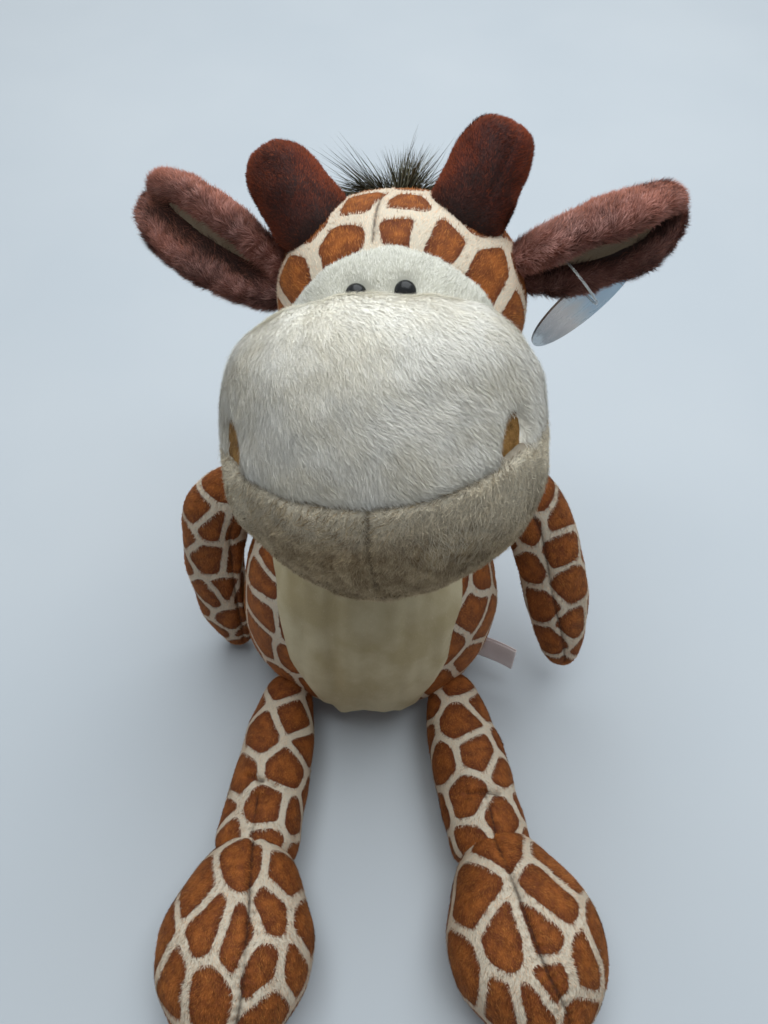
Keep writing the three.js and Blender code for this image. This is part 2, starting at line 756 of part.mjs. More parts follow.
const torsoShape = torsoForm();
const torso = torsoSolid(torsoShape);
const torsoNear = solidOf(grown(torsoShape, jointGap));
const bodyNear = solidOf(grown(torsoShape, jointGap + seamGap + panelThickness));
const hipSockets = ["left", "right"].map((name) => ball(legRootRadius + rootGap, hipAt(name)));
const belly = panelOn(torsoShape, bellyPrism()).subtract(hipSockets[0]).subtract(hipSockets[1]);
giraffe.add(meshOf("torso", torso, print));
giraffe.add(meshOf("belly_panel", largest(belly), bellyCloth));
giraffe.add(meshOf("seat_pellet_bag", solidOf(pelletForm(0)), pelletCloth));
giraffe.add(meshOf("label", labelSolid(solidOf(grown(torsoShape, seamGap))), ribbon));

const tailParts = tailSolids(torsoNear);
const tailGroup = new THREE.Group();
tailGroup.position.copy(tailPivot);
tailGroup.add(meshOf("tail", tailParts.tail, print));
tailGroup.add(meshOf("tail_tuft", tailParts.tuft, hair));
giraffe.add(tailGroup);

function addArm(name) {
  const turn = new THREE.Euler(-degrees(armSwing[name]), -degrees(armSplay[name]) * sideOf[name], 0, "XYZ");
  const flip = new THREE.Matrix4().makeScale(sideOf[name], 1, 1);
  const place = new THREE.Matrix4().makeRotationFromEuler(turn).multiply(flip);
  const arm = new THREE.Group();
  arm.position.copy(shoulderAt(name));
  const near = moved(torsoDish(), flip);
  const solid = largest(moved(solidOf(armForm()), place).subtract(near)).add(ball(armRootRadius));
  arm.add(meshOf(`arm_${name}`, solid, print));
  giraffe.add(arm);
}

function addLeg(name) {
  const splay = degrees(legSplay[name]) * sideOf[name];
  const turn = new THREE.Matrix4().makeRotationZ(splay);
  const home = new THREE.Matrix4().setPosition(hipAt(name).negate());
  const floor = moved(groundSlab(), home);
  const ankle = new THREE.Vector3(0, -legLength, 0).applyMatrix4(turn);
  const leg = new THREE.Group();
  leg.position.copy(hipAt(name));
  const shaft = clearedOf(moved(solidOf(legForm()), turn), moved(bodyNear, home), legRange, axisX);
  const dome = ball(ankleRadius, ankle, roundSides);
  const legSolid = shaft.add(ball(legRootRadius)).add(dome).subtract(floor);
  leg.add(meshOf(`leg_${name}`, largest(legSolid), print));
  leg.add(footGroup(name, ankle, turn, floor));
  giraffe.add(leg);
}

function footGroup(name, ankle, turn, floor) {
  const foot = new THREE.Group();
  foot.position.copy(ankle);
  const outward = new THREE.Matrix4().makeRotationZ(degrees(footTurn[name]) * sideOf[name]);
  const legNear = moved(solidOf(grown(legForm(), jointGap)), new THREE.Matrix4().setPosition(0, legLength, 0));
  const raw = moved(solidOf(footForm()), turn.clone().multiply(outward));
  const cleared = clearedOf(raw, moved(legNear, turn), ankleRange, axisX);
  const ground = moved(floor, new THREE.Matrix4().setPosition(ankle.clone().negate()));
  const socket = ball(ankleRadius + jointGap, new THREE.Vector3(), roundSides);
  const footSolid = cleared.subtract(socket).subtract(ground);
  foot.add(meshOf(`foot_${name}`, largest(footSolid), print));
  return foot;
}

for (const name of ["left", "right"]) {
  addArm(name);
  addLeg(name);
}

// Neck and head
const neck = new THREE.Group();
neck.position.copy(neckPivot);
giraffe.add(neck);
const neckTrimmed = clearedOf(
  neckForm(0),
  moved(torsoNear, new THREE.Matrix4().setPosition(neckPivot.clone().negate())),
  neckRange,
  axisX,
).add(ball(neckRadius, new THREE.Vector3(), fineSides));
neck.add(meshOf("neck", neckTrimmed, print));

const head = new THREE.Group();
head.position.set(...muzzleCentre).sub(neckPivot);
head.rotation.set(degrees(-headPitch), degrees(-headRoll), degrees(-headYaw), "XZY");
neck.add(head);
head.updateMatrix();
const neckInHead = moved(neckForm(jointGap), head.matrix.clone().invert());

const muzzleShape = muzzleForm();
const skullShape = skullForm();
const muzzleWhole = solidOf(muzzleShape).subtract(neckInHead);
const nostrilDirection = (side) => new THREE.Vector3(
  side * Math.sin(degrees(nostrilTurn)),
  -Math.cos(degrees(nostrilTurn)),
  0,
);
let upperMuzzle = muzzleWhole.subtract(underMouth(seamGap / 2));
let lowerJaw = muzzleWhole.intersect(underMouth(-seamGap / 2));
for (const name of ["left", "right"]) {
  const direction = nostrilDirection(sideOf[name]);
  const at = surfaceAlong(solidOf(muzzleShape), new THREE.Vector3(0, 0, nostrilRise + nostrilHeight / 2), direction);
  const place = pointing(direction, at);
  const recess = moved(nostrilOval(0, -nostrilDepth - seamGap, overrun), place);
  const lining = moved(nostrilOval(seamGap, -nostrilDepth, nostrilThickness - nostrilDepth), place);
  upperMuzzle = upperMuzzle.subtract(recess);
  lowerJaw = lowerJaw.subtract(recess);
  head.add(meshOf(`nostril_${name}`, lining, nostrilCloth));
}
head.add(meshOf("jaw", largest(lowerJaw), jawPile));

const muzzleNear = solidOf(grown(muzzleShape, seamGap));
let skull = solidOf(skullShape).subtract(muzzleNear).subtract(neckInHead);
let face = panelOn(skullShape, facePrism()).subtract(muzzleNear);
const panelFace = solidOf(grown(skullShape, seamGap + panelThickness));
for (const name of ["left", "right"]) {
  const from = new THREE.Vector3(sideOf[name] * eyeSpread * eyeAimShare, skullBack, skullRise + eyeRise);
  const aim = new THREE.Vector3(sideOf[name] * eyeSpread, skullBack - skullDepth / 2, skullRise + eyeRise);
  const direction = aim.sub(from).normalize();
  const at = surfaceAlong(panelFace, from, direction).addScaledVector(direction, seamGap);
  const place = pointing(direction, at);
  const stemHole = moved(drum(eyeStemRadius + seamGap, -washerDepth, overrun), place);
  const pocket = moved(
    drum(washerRadius + seamGap, -washerDepth - seamGap, -washerDepth + washerThickness + seamGap),
    place,
  );
  const tipPocket = moved(drum(eyeStemRadius + seamGap, -eyeStemLength - seamGap, -washerDepth), place);
  const room = stemHole.add(pocket).add(tipPocket);
  skull = skull.subtract(room);
  face = face.subtract(stemHole);
  const domeRoom = drum(eyeRadius + seamGap, -seamGap, eyeFlange + eyeRadius + seamGap);
  upperMuzzle = upperMuzzle.subtract(room).subtract(moved(domeRoom, place));
  const washer = ringSolid(eyeStemRadius + seamGap / 2, washerRadius, washerThickness);
  const washerPlace = place.clone().multiply(new THREE.Matrix4().setPosition(0, 0, -washerDepth));
  head.add(meshOf(`eye_${name}`, moved(eyeSolid(), place), blackGloss));
  head.add(meshOf(`eye_washer_${name}`, moved(washer, washerPlace), washerPlastic));
}

// Ears and horns
const skullNear = solidOf(grown(skullShape, jointGap));
const skullNearer = solidOf(grown(skullShape, seamGap));

function hornPlace(name) {
  const lean = degrees(hornLean[name]) * sideOf[name];
  return new THREE.Matrix4()
    .makeRotationFromEuler(new THREE.Euler(degrees(-hornBackLean), lean, 0, "XYZ"))
    .setPosition(sideOf[name] * hornSpread, skullBack - hornForward, skullRise + hornRise);
}

function earPlace(name) {
  const turn = new THREE.Euler(degrees(earTwist), degrees(-earUp[name]), degrees(earSweep), "ZYX");
  const flip = new THREE.Matrix4().makeScale(sideOf[name], 1, 1);
  const inPlace = new THREE.Matrix4().makeRotationFromEuler(turn);
  return flip.multiply(inPlace);
}

const hornNear = {};
for (const name of ["left", "right"]) {
  const horn = moved(solidOf(hornForm()), hornPlace(name)).subtract(skullNearer);
  hornNear[name] = moved(solidOf(grown(hornForm(), jointGap)), hornPlace(name));
  head.add(meshOf(`horn_${name}`, largest(horn), hornPile));
}

// Where the loop goes through the ear's lower rim, and how the tag hangs from it
function tagPlace(leaf, place) {
  const turn = new THREE.Euler(degrees(tagLean), degrees(-tagSlant), 0, "YXZ");
  const from = new THREE.Vector3(earLength.right * loopShare, 0, 0).applyMatrix4(place);
  const down = new THREE.Vector3(0, -Math.sin(degrees(loopTurn)), -Math.cos(degrees(loopTurn)));
  const rim = surfaceAlong(leaf, from, down);
  const hang = new THREE.Matrix4().makeRotationFromEuler(turn);
  const reach = loopDirection().applyMatrix4(hang).multiplyScalar(2 * loopRadius + loopLift - loopBite);
  return { hang, hole: rim.sub(reach) };
}

for (const name of ["left", "right"]) {
  const root = new THREE.Vector3(sideOf[name] * earSpread[name], skullBack + earBack, skullRise + earRise);
  const ear = new THREE.Group();
  ear.position.copy(root);
  const place = earPlace(name);
  const back = new THREE.Matrix4().setPosition(root.clone().negate());
  const near = moved(skullNear, back).add(moved(hornNear[name], back));
  const form = earForm(name);
  let leaf = clearedOf(moved(solidOf(form), place), near, earRange, axisY);
  skull = skull.subtract(ball(earRootRadius + rootGap, root));
  let lining = clearedOf(moved(panelOn(form, liningPrism(name)), place), near, earRange, axisY);
  if (name === "right") {
    const { hang, hole } = tagPlace(leaf, place);
    const tag = new THREE.Group();
    tag.position.copy(hole);
    tag.rotation.setFromRotationMatrix(hang);
    tag.updateMatrix();
    leaf = leaf.subtract(moved(loopSolid(seamGap), tag.matrix));
    lining = lining.subtract(moved(loopSolid(seamGap), tag.matrix));
    tag.add(meshOf("tag_loop", loopSolid(0), clearThread));
    tag.add(meshOf("swing_tag", tagSolid(), card));
    ear.add(tag);
  }
  ear.add(meshOf(`ear_${name}`, largest(leaf.add(ball(earRootRadius))), earPile));
  ear.add(meshOf(`ear_lining_${name}`, largest(lining), liningCloth));
  head.add(ear);
}

head.add(meshOf("muzzle", largest(upperMuzzle), creamPile));
head.add(meshOf("skull", largest(skull), print));
head.add(meshOf("face_panel", largest(face), creamPile));

// Hair tuft between the horns
const tuftSpine = tuftRiseShares.map((share) => new THREE.Vector3(
  0,
  skullBack + tuftBack + tuftDepth * share * tuftCurlShare,
  skullRise + skullHeight / 2 + tuftHeight * share,
));
const tuftForm = stuffedForm({
  spine: tuftSpine,
  girths: scaledGirths(tuftWidth, tuftDepth, tuftWidthShares, tuftDepthShares),
  side: axisX,
  powers: [2.4, 2.2],
  rings: 8,
  sides: 16,
});
const tuft = solidOf(tuftForm).subtract(skullNearer).subtract(hornNear.left).subtract(hornNear.right);
head.add(meshOf("hair_tuft", largest(tuft), hair));

giraffe.updateMatrixWorld(true);
export default giraffe;
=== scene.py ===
"""Looks of a seated plush giraffe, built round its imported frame.

Lengths are millimetres in the row frame until a mesh is made: +Z up, the toy faces -Y,
and left is the side seen on the left from the front, -X.
"""

import logging
import math
from dataclasses import dataclass, field, replace
from enum import Enum
from functools import cache
from typing import Callable, Optional, Sequence

import bpy
import numpy as np
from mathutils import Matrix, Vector


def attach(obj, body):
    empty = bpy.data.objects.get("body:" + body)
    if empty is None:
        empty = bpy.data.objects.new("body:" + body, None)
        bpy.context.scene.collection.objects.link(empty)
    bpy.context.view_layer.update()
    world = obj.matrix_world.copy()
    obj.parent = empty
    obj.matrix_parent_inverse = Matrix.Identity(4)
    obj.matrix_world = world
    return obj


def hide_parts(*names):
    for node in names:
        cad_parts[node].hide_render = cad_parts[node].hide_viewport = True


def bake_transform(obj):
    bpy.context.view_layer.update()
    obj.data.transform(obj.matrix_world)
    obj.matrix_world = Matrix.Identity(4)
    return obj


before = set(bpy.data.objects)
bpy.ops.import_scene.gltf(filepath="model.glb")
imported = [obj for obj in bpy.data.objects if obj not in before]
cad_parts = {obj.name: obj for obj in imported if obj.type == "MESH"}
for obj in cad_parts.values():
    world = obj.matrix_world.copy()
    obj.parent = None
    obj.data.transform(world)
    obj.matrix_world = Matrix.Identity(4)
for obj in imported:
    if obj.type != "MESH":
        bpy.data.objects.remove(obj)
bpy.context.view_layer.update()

MM = 0.001
LOG = logging.getLogger("giraffe")
Array = np.ndarray
Colour = tuple[float, float, float, float]
Triple = tuple[float, float, float]
Pairs = Sequence[tuple[float, float]]
Socket = bpy.types.NodeSocket
Sockets = bpy.types.bpy_prop_collection
Tree = bpy.types.NodeTree


class Side(Enum):
    """The two sides of the toy, as seen from the front."""

    LEFT = -1
    RIGHT = 1

    @property
    def word(self) -> str:
        """The side's name in node and piece names."""
        return self.name.lower()

    def pick(self, left: object, right: object) -> object:
        """The left or the right one of two things."""
        return left if self is Side.LEFT else right


class Axis(Enum):
    """The axes that a matrix can turn about."""

    X = 0
    Y = 1
    Z = 2


def srgb(code: str) -> Colour:
    """A hexadecimal screen colour as the linear colour that nodes take."""
    values = np.array([int(code[i : i + 2], 16) for i in (0, 2, 4)]) / 255
    linear = np.where(values <= 0.04045, values / 12.92, ((values + 0.055) / 1.055) ** 2.4)
    return (float(linear[0]), float(linear[1]), float(linear[2]), 1.0)


def unit(vectors: Array) -> Array:
    """Vectors scaled to length one along their last axis."""
    return vectors / np.maximum(np.linalg.norm(vectors, axis=-1, keepdims=True), 1e-9)


def shift(x: float, y: float, z: float) -> Array:
    """A matrix that moves by x, y and z."""
    matrix = np.eye(4)
    matrix[:3, 3] = (x, y, z)
    return matrix


def turn(axis: Axis, angle: float) -> Array:
    """A matrix that turns about an axis by an angle in degrees, right-handed."""
    c, s = math.cos(math.radians(angle)), math.sin(math.radians(angle))
    matrix = np.eye(4)
    a, b = [(1, 2), (2, 0), (0, 1)][axis.value]
    matrix[a, a], matrix[a, b], matrix[b, a], matrix[b, b] = c, -s, s, c
    return matrix


def mirrored(side: Side) -> Array:
    """A matrix that mirrors X for the left side and changes nothing for the right."""
    return np.diag([side.value, 1.0, 1.0, 1.0])


def placed(points: Array, matrix: Array) -> Array:
    """Points carried by a 4 by 4 matrix."""
    return points @ matrix[:3, :3].T + matrix[:3, 3]


def carried(matrix: Array, *place: float) -> Array:
    """One point carried by a 4 by 4 matrix."""
    return placed(np.array([place], float), matrix)[0]


def swung(matrix: Array, directions: Sequence) -> Array:
    """Directions turned by a 4 by 4 matrix, without its shift."""
    return np.asarray(directions, float) @ matrix[:3, :3].T


def columns(*parts: object) -> Array:
    """Arrays or plain values side by side as columns, one row per point."""
    return np.stack(np.broadcast_arrays(*parts), axis=1)


def catmull(knots: Array, share: Array) -> tuple[Array, Array]:
    """A uniform Catmull-Rom curve through knots, with its slope.

    Between two knots the curve is the cubic whose end slopes are half the step
    between the knots on either side; the ends use knots mirrored outwards.

    Args:
        knots: the points that the curve goes through, one per row.
        share: places along the curve, from 0 to 1.

    Returns:
        The points and the slopes at those places.
    """
    count = len(knots) - 1
    at = np.clip(share, 0, 1) * count
    index = np.minimum(at.astype(int), count - 1)
    w = (at - index)[:, None]
    longer = np.vstack([2 * knots[0] - knots[1], knots, 2 * knots[-1] - knots[-2]])
    a, b, c, d = (longer[index + k] for k in range(4))
    first, last = (c - a) / 2, (d - b) / 2
    square, cube = 3 * (c - b) - 2 * first - last, 2 * (b - c) + first + last
    return b + first * w + square * w**2 + cube * w**3, first + 2 * square * w + 3 * cube * w**2


def drawn_in(share: Array, powers: tuple[float, float]) -> Array:
    """How far the ends draw in: E = (1 - |2s - 1|^p)^(1/p), with a power p for each end."""
    power = np.where(share < 0.5, powers[0], powers[1])
    return (1 - np.abs(2 * share - 1) ** power).clip(0) ** (1 / power)


def bell(distance: Array, width: float) -> Array:
    """A bell, exp(-(distance / width)^2)."""
    return np.exp(-((distance / width) ** 2))


def smooth(value: Array, low: float, high: float) -> Array:
    """A step from 0 at low to 1 at high, level at both ends: 3t^2 - 2t^3."""
    t = np.clip((value - low) / (high - low), 0, 1)
    return t * t * (3 - 2 * t)


def ripple(points: Array, scale: float, seed: int, octaves: int = 2) -> Array:
    """Soft random lumps: a sum of plane sine waves in random directions.

    Args:
        points: places to work it out at, one per row.
        scale: length of the longest waves.
        seed: seed of the directions and phases.
        octaves: how many times the waves are halved and added again at half strength.

    Returns:
        A value of about -1 to 1 for each point.
    """
    waves, scatter = 5, 3.4
    rng = np.random.default_rng(seed)
    total = np.zeros(len(points))
    for octave in range(octaves):
        directions = unit(rng.normal(size=(waves, 3))) * 2 * np.pi * 2**octave / scale
        phases = rng.uniform(0, 2 * np.pi, waves)
        total += np.sin(points @ directions.T + phases).sum(1) / 2**octave
    return total / scatter


@dataclass(frozen=True)
class Form:
    """A stuffed form: oval rings along a spine, closed by rounded ends.

    The ring at share s has its middle on a Catmull-Rom curve through the spine and half
    sizes W and D from the same kind of curve through the girths. Both are drawn in at the
    ends by E. A point at angle a is centre + across * W E cos a + through * D E sin a.
    """

    spine: tuple[Triple, ...]
    girths: tuple[tuple[float, float], ...]
    side: Triple
    powers: tuple[float, float]

    def at(self, share: Array, angle: Array) -> Array:
        """The surface's points at shares from 0 to 1 and angles in radians."""
        centre, slope = catmull(np.array(self.spine, float), share)
        along = unit(slope)
        side = np.array(self.side, float)
        across = unit(side - along * (along @ side)[:, None])
        through = np.cross(along, across)
        size, _ = catmull(np.array(self.girths, float), share)
        drawn = drawn_in(share, self.powers)
        out = size[:, 0] * drawn * np.cos(angle)
        lift = size[:, 1] * drawn * np.sin(angle)
        return centre + across * out[:, None] + through * lift[:, None]

    def skin(
        self, rings: int, sides: int, seams: Sequence[float] = (), bands: Sequence[float] = ()
    ) -> "Skin":
        """The closed surface as a mesh, finer by seams at some angles or shares."""
        return closed_skin(self.at, rings, sides, seams, bands)


@dataclass
class Skin:
    """A mesh being shaped: points, four-sided and three-sided faces, and marks per point.

    A closed form also keeps the share and the angle of each point.
    """

    points: Array
    quads: Array
    tris: Array = field(default_factory=lambda: np.zeros((0, 3), int))
    share: Array = field(default_factory=lambda: np.zeros(0))
    angle: Array = field(default_factory=lambda: np.zeros(0))
    marks: dict[str, Array] = field(default_factory=dict)

    def triangles(self) -> Array:
        """Every face as triangles."""
        return np.concatenate([self.quads[:, [0, 1, 2]], self.quads[:, [0, 2, 3]], self.tris])

    def normals(self) -> Array:
        """The outward direction at each point, from the faces round it, larger ones more."""
        tri = self.triangles()
        a, b, c = (self.points[tri[:, k]] for k in range(3))
        flat = np.cross(b - a, c - a)
        total = np.zeros_like(self.points)
        for k in range(3):
            for axis in range(3):
                total[:, axis] += np.bincount(tri[:, k], flat[:, axis], len(self.points))
        return unit(total)

    def push(self, distance: Array) -> "Skin":
        """Moves each point along its outward direction."""
        distance = np.broadcast_to(distance, len(self.points))
        self.points = self.points + self.normals() * distance[:, None]
        return self

    def swell(self, height: float, size: float, seed: int) -> "Skin":
        """Moves the points out and in by soft random lumps."""
        return self.push(height * ripple(self.points, size, seed))

    def above(self, height: float) -> Array:
        """1 for the points above a height and 0 for the others."""
        return (self.points[:, 2] > height) * 1.0

    def lift(self, floor: float) -> "Skin":
        """Brings the points that lie below a height up to it."""
        self.points[:, 2] = np.maximum(self.points[:, 2], floor)
        return self

    def place(self, matrix: Array) -> "Skin":
        """Carries the points by a matrix, and turns the faces round if it mirrors."""
        self.points = placed(self.points, matrix)
        if np.linalg.det(matrix[:3, :3]) < 0:
            self.quads, self.tris = self.quads[:, ::-1], self.tris[:, ::-1]
        return self

    def mark(self, name: str, values: Array) -> "Skin":
        """Keeps a value per point, which the materials read as an attribute."""
        self.marks[name] = np.broadcast_to(values, len(self.points)).astype(float)
        return self

    def sew(self, line: Array, depth: float, width: float, pucker: float = 0.0) -> "Skin":
        """Draws a seam in along a line of points.

        A point at distance d from the line goes in by depth * exp(-(d / width)^2). Puckers
        add pucker * sin(2 pi t / 3.4 mm) * exp(-(d / 3 width)^2) with t the place along it.
        The seam's painted shade is exp(-5 (d / width)^2).

        Args:
            line: points on the surface, close together.
            depth: depth of the seam.
            width: half width of the seam.
            pucker: height of the gathers beside it.

        Returns:
            The skin itself, with the seam's painted shade added to its shade mark.
        """
        stitch = 3.4
        away = np.full(len(self.points), 1e9)
        along = np.zeros(len(self.points))
        steps = np.linalg.norm(np.diff(line, axis=0), axis=1)
        walked = np.concatenate([[0], np.cumsum(steps)])
        low, high = line.min(0) - 4 * width, line.max(0) + 4 * width
        near = np.flatnonzero(((self.points > low) & (self.points < high)).all(1))
        if len(near):
            gaps = np.linalg.norm(self.points[near, None, :] - line[None, :, :], axis=2)
            nearest = gaps.argmin(1)
            away[near] = gaps[np.arange(len(near)), nearest]
            along[near] = walked[nearest]
        drawn = bell(away, width)
        gather = np.sin(2 * np.pi * along / stitch) * bell(away, 3 * width)
        self.push(pucker * gather - depth * drawn)
        # painted shade in the seam's dent
        crease = self.marks.get("crease", np.zeros(len(self.points)))
        return self.mark("crease", np.maximum(crease, drawn**5))


def closed_skin(
    surface: Callable[[Array, Array], Array],
    rings: int,
    sides: int,
    seams: Sequence[float] = (),
    bands: Sequence[float] = (),
) -> Skin:
    """A closed surface of share and angle as a mesh, rings closer together toward the ends.

    Args:
        surface: the function that gives points for shares and angles.
        rings: number of steps along it.
        sides: number of steps round it.
        seams: angles in degrees that get finer steps beside them.
        bands: shares that get finer steps beside them.

    Returns:
        A skin with its shares and angles kept.
    """
    fine, close_share, close_angle = np.arange(-3, 4), 0.0035, 0.8
    steps = (1 - np.cos(np.pi * np.arange(1, rings) / rings)) / 2
    close = (np.array(bands, float)[:, None] + close_share * fine).ravel()
    steps = np.unique(np.round(np.concatenate([steps, close]), 5))
    turns = 2 * np.pi * np.arange(sides) / sides
    close = np.radians(np.array(seams, float)[:, None] + close_angle * fine).ravel()
    turns = np.unique(np.round(np.mod(np.concatenate([turns, close]), 2 * np.pi), 5))
    rings, sides = len(steps) + 1, len(turns)
    share = np.concatenate([[0.0], np.repeat(steps, sides), [1.0]])
    angle = np.concatenate([[0.0], np.tile(turns, rings - 1), [0.0]])
    step = np.arange(sides)
    after = (step + 1) % sides
    low = 1 + np.arange(rings - 2)[:, None] * sides
    ring = [low + step, low + after, low + sides + after, low + sides + step]
    quads = np.stack(ring, -1).reshape(-1, 4)
    last = 1 + (rings - 1) * sides
    ends = np.concatenate([
        np.stack([np.zeros(sides, int), 1 + after, 1 + step], axis=1),
        np.stack([last - sides + step, last - sides + after, np.full(sides, last)], axis=1),
    ])
    return Skin(surface(share, angle), quads, ends, share, angle)


def open_skin(points: Array) -> Skin:
    """A grid of points, its rows first, as an open surface."""
    rows, width = points.shape[:2]
    index = np.arange(rows * width).reshape(rows, width)
    corners = [index[:-1, :-1], index[:-1, 1:], index[1:, 1:], index[1:, :-1]]
    return Skin(points.reshape(-1, 3), np.stack(corners, axis=-1).reshape(-1, 4))


def patch_skin(form: Form, share: Array, angle: Array) -> Skin:
    """A piece of a form's surface over a grid of shares and angles, facing outward."""
    return open_skin(form.at(share.ravel(), angle.ravel()).reshape(*share.shape, 3))


def seam_line(form: Form, path: Pairs, count: int = 300) -> Array:
    """Points on a form along a path of share and angle in degrees."""
    knots = np.array([(share, math.radians(angle)) for share, angle in path], float)
    line, _ = catmull(knots, np.linspace(0, 1, count))
    return form.at(line[:, 0], line[:, 1])


def spots_on(form: Form, spots: Pairs) -> Array:
    """Points on a form at pairs of share and angle in degrees."""
    pairs = np.array(spots, float)
    return form.at(pairs[:, 0], np.radians(pairs[:, 1]))


def scaled(
    width: float, depth: float, shares: Sequence[float], others: Optional[Sequence[float]] = None
) -> tuple[tuple[float, float], ...]:
    """Half sizes of the rings from a width, a depth and the shares of each, or one for both."""
    return tuple((width / 2 * a, depth / 2 * b) for a, b in zip(shares, others or shares))


@dataclass(frozen=True)
class Patches:
    """The print: brown patches with cream lines between them, bent by slow waves."""

    spacing: float
    line: float = 3.0
    rounding: float = 0.7
    evening: int = 3
    bend: float = 1.0
    stretch: Triple = (1.0, 1.0, 1.0)
    seed: int = 1

    def middles(self, points: Array, chosen: Array) -> Array:
        """Middles of the patches: the chosen ones, then others that keep their distance.

        Args:
            points: places on the surface to pick from.
            chosen: middles that are given, or none.

        Returns:
            The middles, stretched.
        """
        rng = np.random.default_rng(self.seed)
        sample = points[rng.permutation(len(points))[:3000]] * self.stretch
        kept = list(chosen * self.stretch)
        for candidate in sample:
            if not kept or min(np.linalg.norm(np.array(kept) - candidate, axis=1)) > self.spacing:
                kept.append(candidate)
        middles = np.array(kept)
        for _ in range(self.evening):
            nearest = np.linalg.norm(sample[:, None] - middles[None], axis=2).argmin(1)
            for index in range(len(chosen), len(middles)):
                if (nearest == index).any():
                    middles[index] = sample[nearest == index].mean(0)
        return middles

    def inside(self, points: Array, chosen: Optional[Array] = None) -> Array:
        """How far inside its patch a point lies, in millimetres, negative on the lines.

        With the nearest middle m0 at distance d0 and another mi at di, all stretched by the
        factors S, their border is (di^2 - d0^2) / (2 |S (mi - m0)|) away. The soft minimum
        over the others is -k log(sum of exp(-distance / k)), less half the line's width.

        Args:
            points: places on the surface, in millimetres.
            chosen: middles that are given, or none.

        Returns:
            The distance inside for each point.
        """
        waves, first_seed = 17, self.seed + 50
        middles = self.middles(points, np.zeros((0, 3)) if chosen is None else chosen)
        bends = columns(*(ripple(points, waves, first_seed + k, 1) for k in range(3)))
        bent = (points + self.bend * bends) * self.stretch
        away = np.linalg.norm(bent[:, None, :] - middles[None], axis=2)
        every, first = np.arange(len(points)), away.argmin(1)
        near = away[every, first]
        apart = np.linalg.norm((middles[:, None] - middles[None]) * self.stretch, axis=2)[first]
        border = (away**2 - near[:, None] ** 2) / (2 * np.maximum(apart, 1e-6))
        border[every, first] = 1e3
        k = self.rounding
        return (-k * np.log(np.exp(-border / k).sum(1) + 1e-9)).clip(-6, 12) - self.line / 2


